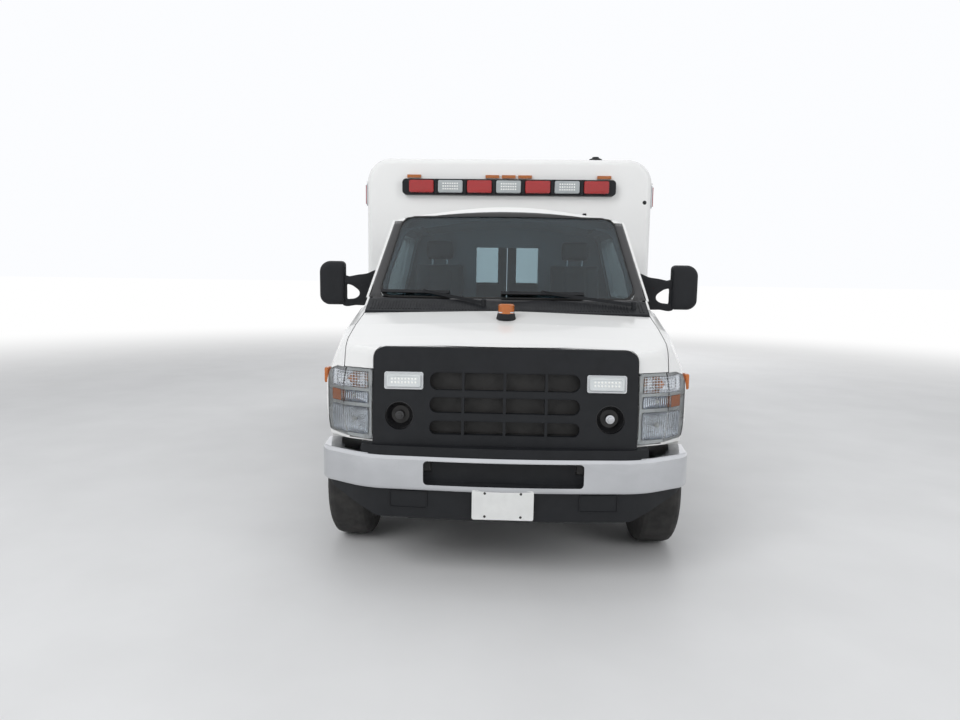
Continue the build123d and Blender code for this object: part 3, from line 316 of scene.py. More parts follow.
def make_materials():
    looks = {
        "white_paint": make_paint(),
        "fluted_reflector": make_fluted_reflector(),
        "tread_plate": make_tread_plate(),
        "tyre": make_tyre_rubber(),
        "grey_vinyl": make_vinyl(),
        "glass": make_glass("glass", (0.80, 0.88, 0.86)),
        "screen_glass": make_glass("screen_glass", (0.28, 0.37, 0.42)),
        "clear_lens": make_glass("clear_lens", (0.97, 0.98, 0.98), 0.02),
        "red_lens": make_lens("red_lens", (0.50, 0.012, 0.014), 0.3),
        "amber_lens": make_lens("amber_lens", (0.80, 0.22, 0.02), 0.45),
    }
    for name, (color, rough, spread, scale, others) in DRIFTING.items():
        looks[name] = varied(name, color, rough, spread, scale, **others).material
    return looks


LOOKS = make_materials()

# Nodes whose finish differs from their slot's usual one
SPECIAL_LOOKS = {"siren_speakers": "gloss_black", "windscreen": "screen_glass",
                 "headlamp_lenses": "clear_lens",
                 "grille_lamps": "clear_edge"}


def dress_nodes():
    """Gives every CAD node the finish of its material slot."""
    for row in frame["record"]["subparts"]:
        obj = frame["nodes"][row["node"]]
        obj.data.materials.clear()
        obj.data.materials.append(LOOKS[SPECIAL_LOOKS.get(row["node"], row["material_slot"])])


# Shapes

def piece(name, shape, look, body=CHASSIS, slot=None, smooth=True, bevel=0.0, segments=2, sharp=40):
    """Makes a piece of a mesh or a bmesh. Its material slot has the look's name. The slot argument is not
    used.
    """
    mesh = finish_mesh(name, shape) if isinstance(shape, bmesh.types.BMesh) else shape
    obj = bpy.data.objects.new(name, mesh)
    bpy.context.scene.collection.objects.link(obj)
    mesh.materials.append(LOOKS[look])
    if smooth:
        for polygon in mesh.polygons:
            polygon.use_smooth = True
        mesh.set_sharp_from_angle(angle=radians(sharp))
    if bevel:
        modifier = obj.modifiers.new("edges", "BEVEL")
        modifier.width = bevel
        modifier.segments = segments
        modifier.limit_method = "ANGLE"
        modifier.harden_normals = True
    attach(obj, body)
    return obj


def finish_mesh(name, bm):
    """Turns a bmesh into a mesh whose faces all point outwards."""
    bmesh.ops.recalc_face_normals(bm, faces=bm.faces)
    mesh = bpy.data.meshes.new(name)
    bm.to_mesh(mesh)
    bm.free()
    return mesh


def add_box(bm, low, high):
    """Adds a box between two corners."""
    centre = [(a + b) / 2 for a, b in zip(low, high)]
    size = [abs(b - a) for a, b in zip(low, high)]
    matrix = Matrix.Translation(centre) @ Matrix.Diagonal((*size, 1))
    bmesh.ops.create_cube(bm, size=1.0, matrix=matrix)


def add_prism(bm, loop, offset):
    """Adds a solid between a closed loop of points and the same loop moved by an offset."""
    near = [bm.verts.new(point) for point in loop]
    far = [bm.verts.new(Vector(point) + Vector(offset)) for point in loop]
    count = len(loop)
    bm.faces.new(near)
    bm.faces.new(list(reversed(far)))
    for index in range(count):
        following = (index + 1) % count
        bm.faces.new([near[following], near[index], far[index], far[following]])


def add_lathe(bm, profile, place, segments=48):
    """Adds a turned form: (radius, height) points about the place's own Z axis."""
    rings = []
    for radius, height in profile:
        if radius < 1e-6:
            rings.append([bm.verts.new(place @ Vector((0, 0, height)))])
            continue
        ring = []
        for index in range(segments):
            angle = 2 * pi * index / segments
            ring.append(bm.verts.new(place @ Vector((radius * cos(angle), radius * sin(angle), height))))
        rings.append(ring)
    for low, high in zip(rings, rings[1:]):
        for index in range(segments):
            following = (index + 1) % segments
            if len(low) == 1 and len(high) == 1:
                continue
            if len(low) == 1:
                bm.faces.new([low[0], high[index], high[following]])
            elif len(high) == 1:
                bm.faces.new([low[following], low[index], high[0]])
            else:
                bm.faces.new([low[following], low[index], high[index], high[following]])


# Width of a bead's top as a share of its foot's
BEAD_TOP = 0.6


def add_strip(bm, path, normals, width, height, closed=True):
    """Adds a tapered bead along a path; normals point out of the surface it lies on."""
    count = len(path)
    rings = []
    for index, (point, normal) in enumerate(zip(path, normals)):
        before = path[index - 1] if closed or index > 0 else point
        after = path[(index + 1) % count] if closed or index < count - 1 else point
        run = (Vector(after) - Vector(before)).normalized()
        across = run.cross(Vector(normal)).normalized() * (width / 2)
        up = Vector(normal).normalized() * height
        base = Vector(point)
        corners = (base - across, base - across * BEAD_TOP + up, base + across * BEAD_TOP + up,
                   base + across)
        rings.append([bm.verts.new(corner) for corner in corners])
    last = count if closed else count - 1
    for index in range(last):
        low = rings[index]
        high = rings[(index + 1) % count]
        for corner in range(4):
            following = (corner + 1) % 4
            bm.faces.new([low[corner], low[following], high[following], high[corner]])
    if not closed:
        bm.faces.new(rings[0])
        bm.faces.new(list(reversed(rings[-1])))


def rounded(points, radii, steps=6):
    """Points of a closed flat outline with its corners rounded by arcs."""
    count = len(points)
    result = []
    if not isinstance(radii, (list, tuple)):
        radii = [radii] * count
    for index in range(count):
        corner = Vector(points[index])
        before = Vector(points[index - 1]) - corner
        after = Vector(points[(index + 1) % count]) - corner
        half = before.angle(after) / 2
        reach = min(radii[index] / tan(half), before.length * 0.49, after.length * 0.49)
        if reach < 1e-6:
            result.append(corner)
            continue
        radius = reach * tan(half)
        middle = (before.normalized() + after.normalized()).normalized() * (radius / sin(half))
        centre = corner + middle
        start = corner + before.normalized() * reach - centre
        end = corner + after.normalized() * reach - centre
        sweep = start.angle_signed(end)
        for step in range(steps + 1):
            angle = -sweep * step / steps
            across = start.x * cos(angle) - start.y * sin(angle)
            result.append(centre + Vector((across, start.x * sin(angle) + start.y * cos(angle))))
    return result


def rectangle(width, height, radius, steps=6):
    """Outline of a rectangle about the origin, with rounded corners."""
    half_w = width / 2
    half_h = height / 2
    return rounded([(-half_w, -half_h), (half_w, -half_h), (half_w, half_h), (-half_w, half_h)], radius,
                   steps)


def dense(outline, step, closed=True):
    """The outline with extra points on its long runs."""
    path = []
    ends = outline[1:] + outline[:1] if closed else outline[1:]
    for start, end in zip(outline, ends):
        count = max(1, int((end - start).length / step))
        path += [start.lerp(end, index / count) for index in range(count)]
    return path if closed else path + outline[-1:]


def evenly(line, count):
    """Points at equal shares of each run of an open line, and its end."""
    path = []
    for start, end in zip(line, line[1:]):
        path += [Vector(start).lerp(Vector(end), index / count) for index in range(count)]
    return path + [Vector(line[-1])]


def add_rings(bm, rings, cap_first=False, cap_last=True):
    """Skins a row of equal loops."""
    made = [[bm.verts.new(point) for point in ring] for ring in rings]
    for low, high in zip(made, made[1:]):
        for index in range(len(low)):
            following = (index + 1) % len(low)
            bm.faces.new([low[index], low[following], high[following], high[index]])
    if cap_first:
        bm.faces.new(list(reversed(made[0])))
    if cap_last:
        bm.faces.new(made[-1])


def turn_to(direction):
    """Turn that brings the Z axis into a direction."""
    return Vector((0, 0, 1)).rotation_difference(Vector(direction)).to_matrix().to_4x4()


def facing(x, d, z, direction):
    """Place whose own Z axis points in a direction."""
    return Matrix.Translation((x, y_at(d), z)) @ turn_to(direction)


def bead(name, points, normal, size, look, body=CHASSIS, closed=True, **finish):
    """A piece that is one bead, of a width and height, on a surface that faces along the normal."""
    bm = bmesh.new()
    add_strip(bm, points, [normal] * len(points), *size, closed)
    return piece(name, bm, look, body, **finish)


def turned(name, profile, place, segments, look, body=CHASSIS, **finish):
    """A piece that is one turned form."""
    bm = bmesh.new()
    add_lathe(bm, profile, place, segments)
    return piece(name, bm, look, body, **finish)


def box_piece(name, corners, look, body=CHASSIS, **finish):
    """A piece made of boxes, each given by two corners."""
    bm = bmesh.new()
    for low, high in corners:
        add_box(bm, low, high)
    return piece(name, bm, look, body, **finish)


def curve_mesh(curve):
    """Mesh of a curve's form."""
    made = bpy.data.objects.new(curve.name, curve)
    bpy.context.scene.collection.objects.link(made)
    depsgraph = bpy.context.evaluated_depsgraph_get()
    mesh = bpy.data.meshes.new_from_object(made.evaluated_get(depsgraph))
    bpy.data.objects.remove(made)
    return mesh


def tube(name, points, radius, look):
    """A round bar along straight runs with soft corners."""
    curve = bpy.data.curves.new(name, "CURVE")
    curve.dimensions = "3D"
    curve.bevel_depth = radius
    curve.bevel_resolution = 6
    curve.use_fill_caps = True
    spline = curve.splines.new("BEZIER")
    spline.bezier_points.add(len(points) - 1)
    for index, point in enumerate(points):
        knot = spline.bezier_points[index]
        knot.co = point
        before = Vector(points[max(index - 1, 0)])
        after = Vector(points[min(index + 1, len(points) - 1)])
        run = (after - before).normalized()
        reach = min((Vector(point) - before).length or 1, (after - Vector(point)).length or 1) * 0.3
        knot.handle_left = Vector(point) - run * reach
        knot.handle_right = Vector(point) + run * reach
    return piece(name, curve_mesh(curve), look)


# Camera, light and floor

# Camera's place and angles, in degrees, taken from the photograph's perspective
CAMERA_AHEAD = 3.17
CAMERA_HEIGHT = 1.557
CAMERA_PITCH = -7.02
CAMERA_YAW = 2.19
CAMERA_ROLL = 0.8


def make_camera():
    """The photograph's view: a wide-angle camera just in front."""
    camera = bpy.data.cameras.new("camera")
    camera.sensor_width = 36.0
    camera.lens = 24.98
    obj = bpy.data.objects.new("camera", camera)
    bpy.context.scene.collection.objects.link(obj)
    turn = Matrix.Rotation(radians(CAMERA_YAW), 4, "Z")
    turn = turn @ Matrix.Rotation(radians(90 + CAMERA_PITCH), 4, "X")
    turn = turn @ Matrix.Rotation(radians(CAMERA_ROLL), 4, "Z")
    obj.matrix_world = Matrix.Translation((0.0, y_at(-CAMERA_AHEAD), CAMERA_HEIGHT)) @ turn
    bpy.context.scene.camera = obj


# Strength of the sky's light at the horizon, and from this height of a unit ray up
SKY_LOW = 0.26
SKY_HIGH = 0.52
SKY_FULL_Z = 0.7


def make_world():
    """Soft light, stronger overhead. The camera, reflections and glass see a white background."""
    world = bpy.data.worlds.new("studio")
    bpy.context.scene.world = world
    world.use_nodes = True
    nodes = world.node_tree.nodes
    links = world.node_tree.links
    background = nodes["Background"]
    path = nodes.new("ShaderNodeLightPath")
    through = nodes.new("ShaderNodeMath")
    through.operation = "MAXIMUM"
    links.new(path.outputs["Is Glossy Ray"], through.inputs[0])
    links.new(path.outputs["Is Transmission Ray"], through.inputs[1])
    seen = nodes.new("ShaderNodeMath")
    seen.operation = "MAXIMUM"
    links.new(path.outputs["Is Camera Ray"], seen.inputs[0])
    links.new(through.outputs[0], seen.inputs[1])
    strength = nodes.new("ShaderNodeMapRange")
    strength.inputs["To Max"].default_value = 1.0
    direction = nodes.new("ShaderNodeTexCoord")
    height = nodes.new("ShaderNodeSeparateXYZ")
    links.new(direction.outputs["Generated"], height.inputs["Vector"])
    sky = nodes.new("ShaderNodeMapRange")
    sky.inputs["From Min"].default_value = 0.0
    sky.inputs["From Max"].default_value = SKY_FULL_Z
    sky.inputs["To Min"].default_value = SKY_LOW
    sky.inputs["To Max"].default_value = SKY_HIGH
    links.new(height.outputs["Z"], sky.inputs["Value"])
    links.new(sky.outputs["Result"], strength.inputs["To Min"])
    links.new(seen.outputs[0], strength.inputs["Value"])
    links.new(strength.outputs["Result"], background.inputs["Strength"])
    background.inputs["Color"].default_value = (0.97, 0.98, 1.0, 1)


# Lamps: name, place, target, diameter and power in watts
LAMPS = (
    ("key", (-4.5, FRONT_Y - 5.0, 6.0), (0.0, FRONT_Y + 1.5, 1.0), 5.0, 330.0),
    ("fill", (5.5, FRONT_Y - 4.0, 4.0), (0.0, FRONT_Y + 1.5, 1.0), 4.0, 130.0),
    ("top", (0.0, 0.5, 7.0), (0.0, 0.5, 0.0), 7.0, 120.0),
    ("back", (3.0, 8.5, 5.0), (0.0, 2.0, 1.2), 4.0, 200.0),
)


def make_lights():
    """Large soft lamps, which don't show in reflections or glass."""
    for name, place, target, size, power in LAMPS:
        lamp = bpy.data.lights.new(name, "AREA")
        lamp.shape = "DISK"
        lamp.size = size
        lamp.energy = power
        obj = bpy.data.objects.new(name, lamp)
        obj.visible_glossy = False
        obj.visible_transmission = False
        bpy.context.scene.collection.objects.link(obj)
        turn = (Vector(target) - Vector(place)).to_track_quat("-Z", "Y")
        obj.matrix_world = Matrix.Translation(place) @ turn.to_matrix().to_4x4()


# Distances from the vehicle's middle between which the floor turns white
FLOOR_FADE = (5.0, 16.0)
FLOOR_REACH = 200


def make_floor():
    """Wide pale floor that keeps the vehicle's shadow and fades to the background's white."""
    bm = bmesh.new()
    add_box(bm, (-FLOOR_REACH, -FLOOR_REACH, -0.05), (FLOOR_REACH, FLOOR_REACH, 0.0))
    mesh = finish_mesh("floor", bm)
    look = varied("floor_surface", (0.74, 0.745, 0.75), 0.75, 0.03, 1.5, grain=0.1, grain_scale=80.0)
    distance = look.nodes.new("ShaderNodeVectorMath")
    distance.operation = "LENGTH"
    look.links.new(look.place, distance.inputs[0])
    fade = look.nodes.new("ShaderNodeMapRange")
    fade.interpolation_type = "SMOOTHSTEP"
    fade.inputs["From Min"].default_value = FLOOR_FADE[0]
    fade.inputs["From Max"].default_value = FLOOR_FADE[1]
    look.links.new(distance.outputs["Value"], fade.inputs["Value"])
    white = look.nodes.new("ShaderNodeEmission")
    blend = look.nodes.new("ShaderNodeMixShader")
    look.links.new(fade.outputs["Result"], blend.inputs["Fac"])
    look.links.new(look.shader.outputs["BSDF"], blend.inputs[1])
    look.links.new(white.outputs["Emission"], blend.inputs[2])
    look.links.new(blend.outputs["Shader"], look.nodes["Material Output"].inputs["Surface"])
    mesh.materials.append(look.material)
    obj = bpy.data.objects.new("floor", mesh)
    bpy.context.scene.collection.objects.link(obj)


# Nose details

LAMP_INNER_X = 0.670
LAMP_OUTER_X = 0.936
LAMP_LOW_Z = 0.730
LAMP_HIGH_Z = 1.094
# X and height of a point inside the lens, towards which a ray is pulled that passes beside it
LAMP_CENTRE = (0.80, 0.91)

# Search trees of the nodes asked for so far
TREES = {}


def tree_of(node):
    """Search tree over one CAD node's surface."""
    if node not in TREES:
        obj = frame["nodes"][node]
        points = [obj.matrix_world @ vertex.co for vertex in obj.data.vertices]
        TREES[node] = BVHTree.FromPolygons(points, [polygon.vertices for polygon in obj.data.polygons])
    return TREES[node]


def front_of(node, x, z):
    """Y of a node's frontmost surface at an x and height, or None beside it."""
    point, _, _, _ = tree_of(node).ray_cast(Vector((x, FRONT_Y - 1, z)), Vector((0, 1, 0)))
    return point.y if point else None


def top_of(node, x, y):
    """Height of a node's highest surface at an x and Y."""
    point, _, _, _ = tree_of(node).ray_cast(Vector((x, y, 4)), Vector((0, 0, -1)))
    return point.z if point else 0.0


def lens_y(side, x, z):
    """Y of a headlamp lens, held inside its outline."""
    for pull in range(12):
        near_x, near_z = (lerp(a, b, pull * 0.03) for a, b in zip((x, z), LAMP_CENTRE))
        y = front_of("headlamp_lenses", side * near_x, near_z)
        if y is not None:
            return y
    return y_at(0.2)


def lamp_rings(side, outline, depths, scales):
    """Loops behind a headlamp's lens, each a scaled copy of an outline at its own depth."""
    centre = sum(outline, Vector((0, 0))) / len(outline)
    rings = []
    for depth, scale in zip(depths, scales):
        points = [centre + (point - centre) * scale for point in outline]
        rings.append([Vector((side * p.x, lens_y(side, p.x, p.y) + depth, p.y)) for p in points])
    return rings


# Lower and upper edge of each tier, from the main lamp up
LAMP_TIERS = ((0.752, 0.896), (0.914, 0.976), (0.992, 1.078))


def tier_outline(low_z, high_z):
    """Outline of one tier of a headlamp, as x and height."""
    corners = [(LAMP_INNER_X + 0.020, low_z), (LAMP_OUTER_X - 0.030, low_z), (LAMP_OUTER_X - 0.030, high_z),
               (LAMP_INNER_X + 0.020, high_z)]
    return dense(rounded(corners, 0.014, 4), 0.02)


def lamp_sheet(bm, side, x_range, z_range, lift, steps=12):
    """Thin curved bar just behind the lens."""
    for index in range(steps):
        xs = [lerp(*x_range, index / steps), lerp(*x_range, (index + 1) / steps)]
        near = [Vector((side * x, lens_y(side, x, z) + lift, z)) for x, z in
                ((xs[0], z_range[0]), (xs[1], z_range[0]), (xs[1], z_range[1]), (xs[0], z_range[1]))]
        add_prism(bm, near, (0, 0.003, 0))


def carve(node_name, name, look, slot, cutters):
    """Replaces a CAD node by a copy with the cutters' forms taken out of it."""
    node = frame["nodes"][node_name]
    mesh = node.data.copy()
    mesh.transform(node.matrix_world)
    mesh.materials.clear()
    copy = piece(name, mesh, look, slot=slot, smooth=False)
    cutter = bpy.data.objects.new("cutter", finish_mesh("cutter", cutters))
    bpy.context.scene.collection.objects.link(cutter)
    modifier = copy.modifiers.new("cut", "BOOLEAN")
    modifier.operation = "DIFFERENCE"
    modifier.object = cutter
    modifier.solver = "EXACT"
    depsgraph = bpy.context.evaluated_depsgraph_get()
    carved = bpy.data.meshes.new_from_object(copy.evaluated_get(depsgraph))
    copy.modifiers.clear()
    copy.data = carved
    bpy.data.objects.remove(cutter)
    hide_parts(node_name)


def make_headlamps():
    """Hollowed housings with reflectors, bulbs, grid, amber marker and clear lens edge."""
    bowl_cutters = bmesh.new()
    opening_cutters = bmesh.new()
    for name, side in SIDES:
        for low_z, high_z in LAMP_TIERS:
            add_rings(bowl_cutters, lamp_rings(side, tier_outline(low_z, high_z), (-0.03, 0.020, 0.046),
                                               (1.0, 1.0, 0.82)), cap_first=True)
        corners = [(LAMP_INNER_X + 0.004, LAMP_LOW_Z + 0.004), (0.80, LAMP_LOW_Z + 0.004),
                   (0.80, LAMP_HIGH_Z - 0.004), (LAMP_INNER_X + 0.004, LAMP_HIGH_Z - 0.004)]
        opening = dense([Vector(corner) for corner in corners], 0.02)
        add_rings(opening_cutters, lamp_rings(side, opening, (-0.03, 0.050), (1.0, 1.0)), cap_first=True)
    carve("headlamps", "headlamp_housings", "clear_edge", "chrome", bowl_cutters)
    carve("radiator_support", "radiator_support_cut", "chassis_black", "chassis_black", opening_cutters)

    for name, side in SIDES:
        edges = bmesh.new()
        inner, outer = LAMP_INNER_X + 0.003, 0.780
        for z_range in ((0.733, 0.752), (0.896, 0.914), (0.976, 0.992), (1.078, 1.091)):
            lamp_sheet(edges, side, (inner, outer), z_range, 0.0165, 8)
        lamp_sheet(edges, side, (inner, LAMP_INNER_X + 0.020), (0.752, 1.078), 0.0165, 1)
        piece(f"headlamp_edge_{name}", edges, "clear_edge", slot="chrome", smooth=False)
        for tier, (low_z, high_z) in enumerate(LAMP_TIERS):
            bowl = bmesh.new()
            outline = tier_outline(low_z, high_z)
            rings = lamp_rings(side, outline, (0.012, 0.026, 0.038, 0.043, 0.0445),
                               (0.985, 0.93, 0.76, 0.5, 0.2))
            add_rings(bowl, rings)
            look = "reflector" if tier == 2 else "fluted_reflector"
            piece(f"headlamp_bowl_{tier}_{name}", bowl, look, slot="chrome")

        bulbs = bmesh.new()
        for (low_z, high_z), size in zip(LAMP_TIERS[:2], (1.0, 0.7)):
            x = LAMP_INNER_X + 0.105
            z = (low_z + high_z) / 2
            place = Matrix.Translation((side * x, lens_y(side, x, z) + 0.040, z)) @ turn_to((0, -1, 0))
            add_lathe(bulbs, [(r * size, h * size) for r,
                              h in ((0.013, -0.004), (0.013, 0.010), (0.011, 0.016),
                              (0.007, 0.021), (0.0, 0.023))], place, 24)
        piece(f"headlamp_bulbs_{name}", bulbs, "led", slot="chrome")

        amber = bmesh.new()
        x = LAMP_INNER_X + 0.115
        z = sum(LAMP_TIERS[2]) / 2
        place = Matrix.Translation((side * x, lens_y(side, x, z) + 0.042, z)) @ turn_to((0, -1, 0))
        add_lathe(amber, [(0.024, 0.0), (0.023, 0.012), (0.017, 0.022), (0.008, 0.027), (0.0, 0.028)],
                  place, 28)
        low_z, high_z = LAMP_TIERS[1]
        lamp_sheet(amber, side, (LAMP_OUTER_X - 0.088, LAMP_OUTER_X - 0.032),
                   (low_z + 0.002, high_z - 0.002), 0.011,
                   4)
        piece(f"headlamp_amber_{name}", amber, "amber_lens")

        grid = bmesh.new()
        low_z, high_z = LAMP_TIERS[2]
        for index in range(6):
            z = lerp(low_z + 0.008, high_z - 0.008, index / 5)
            lamp_sheet(grid, side, (LAMP_INNER_X + 0.024, LAMP_OUTER_X - 0.036), (z - 0.0012, z + 0.0012),
                       0.012, 8)
        for index in range(13):
            x = lerp(LAMP_INNER_X + 0.030, LAMP_OUTER_X - 0.042, index / 12)
            lamp_sheet(grid, side, (x - 0.0011, x + 0.0011), (low_z + 0.002, high_z - 0.002), 0.0115, 1)
        piece(f"headlamp_grid_{name}", grid, "reflector", slot="chrome", smooth=False)

        flutes = bmesh.new()
        low_z, high_z = LAMP_TIERS[0]
        for index in range(24):
            x = lerp(LAMP_INNER_X + 0.026, LAMP_OUTER_X - 0.036, index / 23)
            lamp_sheet(flutes, side, (x - 0.0024, x + 0.0024), (low_z + 0.004, high_z - 0.004), 0.0088, 1)
        piece(f"headlamp_flutes_{name}", flutes, "clear_lens", bevel=0.0010)


# X and height of the lamps and speakers in the grille
GRILLE_LAMP = (0.5035, 1.045)
SPEAKER = (0.5255, 0.868)
SPEAKER_RADIUS = 0.0735


def make_grille_details():
    """Frames and diodes of the grille's lamps, speaker bolts and rims, slot lips, fins and screws."""
    for name, side in SIDES:
        x, z = GRILLE_LAMP
        frame_edge = bmesh.new()
        rings = []
        for width, height, lift in ((0.172, 0.064, 0.0145), (0.168, 0.060, 0.0205), (0.150, 0.044, 0.0205),
                                    (0.144, 0.038, 0.0150)):
            loop = rectangle(width, height, 0.009, 5)
            rings.append([on_grille(side * x + p.x, z + p.y, lift) for p in loop])
        add_rings(frame_edge, rings, cap_last=False)
        piece(f"grille_lamp_frame_{name}", frame_edge, "clear_edge", slot="clear_lens", sharp=25)
        panel = bmesh.new()
        loop = rectangle(0.149, 0.043, 0.008, 5)
        add_prism(panel, [on_grille(side * x + p.x, z + p.y, 0.0142) for p in loop], (0, -0.001, 0))
        piece(f"grille_lamp_panel_{name}", panel, "grey_trim")
        leds = bmesh.new()
        for row in range(2):
            for column in range(8):
                cx = side * x + (column - 3.5) * 0.0168
                cz = z + (row - 0.5) * 0.0175
                place = facing(cx, grille_d(cz) - 0.0150, cz, (0, -1, 0))
                add_lathe(leds, [(0.0064, 0.0), (0.0056, 0.003), (0.0030, 0.0046), (0.0, 0.0050)], place,
                          12)
        piece(f"grille_lamp_leds_{name}", leds, "led", slot="clear_lens")
        loop = rectangle(0.193, 0.085, 0.014, 6)
        points = [(side * x + p.x * 0.965, y_at(grille_d(z + p.y) - 0.009), z + p.y * 0.93) for p in loop]
        bead(f"grille_lamp_bezel_{name}", points, (0, -1, 0.08), (0.009, 0.006), "chrome", bevel=0.001)

        # The right-hand bolt is the same chrome part as the left; its gloss black is painted shade.
        place = facing(side * SPEAKER[0], 0.1045, SPEAKER[1], (0, -1, 0))
        turned(f"speaker_bolt_{name}",
               [(0.024, -0.001), (0.022, 0.006), (0.013, 0.010), (0.012, 0.016), (0.0, 0.018)], place, 32,
               "chrome" if side > 0 else "gloss_black", slot="chrome")
        count = 56
        turns = [2 * pi * index / count for index in range(count)]
        points = [on_grille(side * SPEAKER[0] + SPEAKER_RADIUS * cos(turn),
                            SPEAKER[1] + SPEAKER_RADIUS * sin(turn),
                            0.0005) for turn in turns]
        bead(f"speaker_lip_{name}", points, (0, -1, 0), (0.007, 0.0035), "black_plastic")

    lips = bmesh.new()
    for high_z, low_z in ((1.090, 0.997), (0.967, 0.8835), (0.849, 0.775)):
        loop = rectangle(0.752, high_z - low_z, (high_z - low_z) * 0.45, 8)
        points = [on_grille(p.x, (high_z + low_z) / 2 + p.y, 0.0004) for p in loop]
        add_strip(lips, points, [(0, -1, 0)] * len(points), 0.008, 0.004)
    piece("grille_slot_lips", lips, "black_plastic")

    # Radiator fins and a sheet behind each slot: the radiator's own black plus painted shade deep in the
    # slots
    core = bmesh.new()
    for index in range(60):
        z = 0.780 + index * 0.0053
        d = grille_d(z) + 0.072
        add_box(core, (-0.384, y_at(d), z), (0.384, y_at(d + 0.004), z + 0.0016))
    piece("radiator_fins", core, "radiator_black_and_shade", slot="chassis_black", smooth=False)
    back = bmesh.new()
    for high_z, low_z in ((1.100, 0.990), (0.975, 0.875), (0.856, 0.768)):
        d = grille_d((high_z + low_z) / 2)
        add_box(back, (-0.388, y_at(d + 0.080), low_z), (0.388, y_at(d + 0.082), high_z))
    piece("radiator_core", back, "radiator_black_and_shade", slot="chassis_black", smooth=False)

    screws = bmesh.new()
    for x, z in ((0.62, 1.165), (0.62, 0.765), (0.32, 1.165), (0.32, 0.750), (0.0, 1.165), (0.0, 0.750)):
        for sign in ((1, -1) if x else (1,)):
            place = facing(sign * x, grille_d(z), z, (0, -1, 0.08))
            add_lathe(screws, [(0.008, -0.001), (0.008, 0.001), (0.005, 0.0028), (0.0, 0.003)], place, 16)
    piece("grille_screws", screws, "black_plastic")


# Padded seats and bench

SEAT_LOW_X = 0.320
SEAT_HIGH_X = 0.745
REST_LOW_X = 0.420
REST_HIGH_X = 0.645
# Front and rear distance, lower and upper height
CUSHION = (1.640, 2.090, 1.010, 1.150)
# Back and head rest: distance and height of the corners of their side outline
BACK_OUTLINE = [(2.030, 1.152), (2.120, 1.680), (2.205, 1.680), (2.160, 1.152)]
REST_OUTLINE = [(2.125, 1.690), (2.125, 1.850), (2.210, 1.850), (2.210, 1.690)]


def inset_loop(points, inset):
    """The (d, z) outline moved inwards."""
    result = []
    for index, point in enumerate(points):
        corner = Vector(point)
        before = (Vector(points[index - 1]) - corner).normalized()
        after = (Vector(points[(index + 1) % len(points)]) - corner).normalized()
        middle = before + after
        half = before.angle(after) / 2
        result.append(corner + middle.normalized() * (inset / sin(half)))
    return result


def puffed(name, outline, low_x, high_x, inset, voxel, channels=()):
    """Cushion mesh swollen from a slightly smaller slab by a short cloth run, with sewn channels."""
    bm = bmesh.new()
    loop = [Vector((low_x + inset, y_at(p.x), p.y)) for p in inset_loop(outline, inset)]
    add_prism(bm, loop, (high_x - low_x - 2 * inset, 0, 0))
    bmesh.ops.bevel(bm, geom=bm.edges[:], offset=inset * 1.6, segments=3, profile=0.5, affect="EDGES")
    pad = bpy.data.objects.new(name, finish_mesh(name, bm))
    bpy.context.scene.collection.objects.link(pad)
    remesh = pad.modifiers.new("voxels", "REMESH")
    remesh.mode = "VOXEL"
    remesh.voxel_size = voxel
    applied(pad)
    start = [vertex.co.copy() for vertex in pad.data.vertices]
    inflate(pad)
    for vertex, place in zip(pad.data.vertices, start):
        move = vertex.co - place
        if move.length > inset:
            vertex.co = place + move.normalized() * inset
    smooth = pad.modifiers.new("smooth", "SMOOTH")
    smooth.iterations = 4
    applied(pad)
    mesh = pad.data
    bpy.data.objects.remove(pad)
    normals = [vertex.normal.copy() for vertex in mesh.vertices]
    for vertex, normal in zip(mesh.vertices, normals):
        depth = sum(0.007 * max(0.0, 1 - abs(vertex.co.x - x) / 0.014) ** 2 for x in channels)
        if abs(normal.x) < 0.7:
            vertex.co -= normal * depth
    return mesh


def applied(obj):
    """Swaps an object's mesh for its modified form."""
    depsgraph = bpy.context.evaluated_depsgraph_get()
    mesh = bpy.data.meshes.new_from_object(obj.evaluated_get(depsgraph))
    obj.modifiers.clear()
    obj.data = mesh


def inflate(pad):
    """Swells a closed mesh with cloth pressure over twenty frames."""
    cloth = pad.modifiers.new("cloth", "CLOTH")
    cloth.settings.use_pressure = True
    cloth.settings.uniform_pressure_force = 4.0
    cloth.settings.effector_weights.gravity = 0.0
    cloth.point_cache.frame_start = 1
    cloth.point_cache.frame_end = 20
    scene = bpy.context.scene
    for frame_number in range(1, 21):
        scene.frame_set(frame_number)
    applied(pad)
    scene.frame_set(1)


def add_pad(name, mesh, side, node):
    """Cushion piece on one side, mirrored for the right, in place of a CAD node."""
    copy = mesh.copy()
    if side < 0:
        copy.transform(Matrix.Scale(-1, 4, (1, 0, 0)))
        copy.flip_normals()
    pad = piece(name, copy, "grey_vinyl", sharp=180)
    subdivide = pad.modifiers.new("finer", "SUBSURF")
    subdivide.levels = 1
    subdivide.render_levels = 1
    applied(pad)
    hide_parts(node)


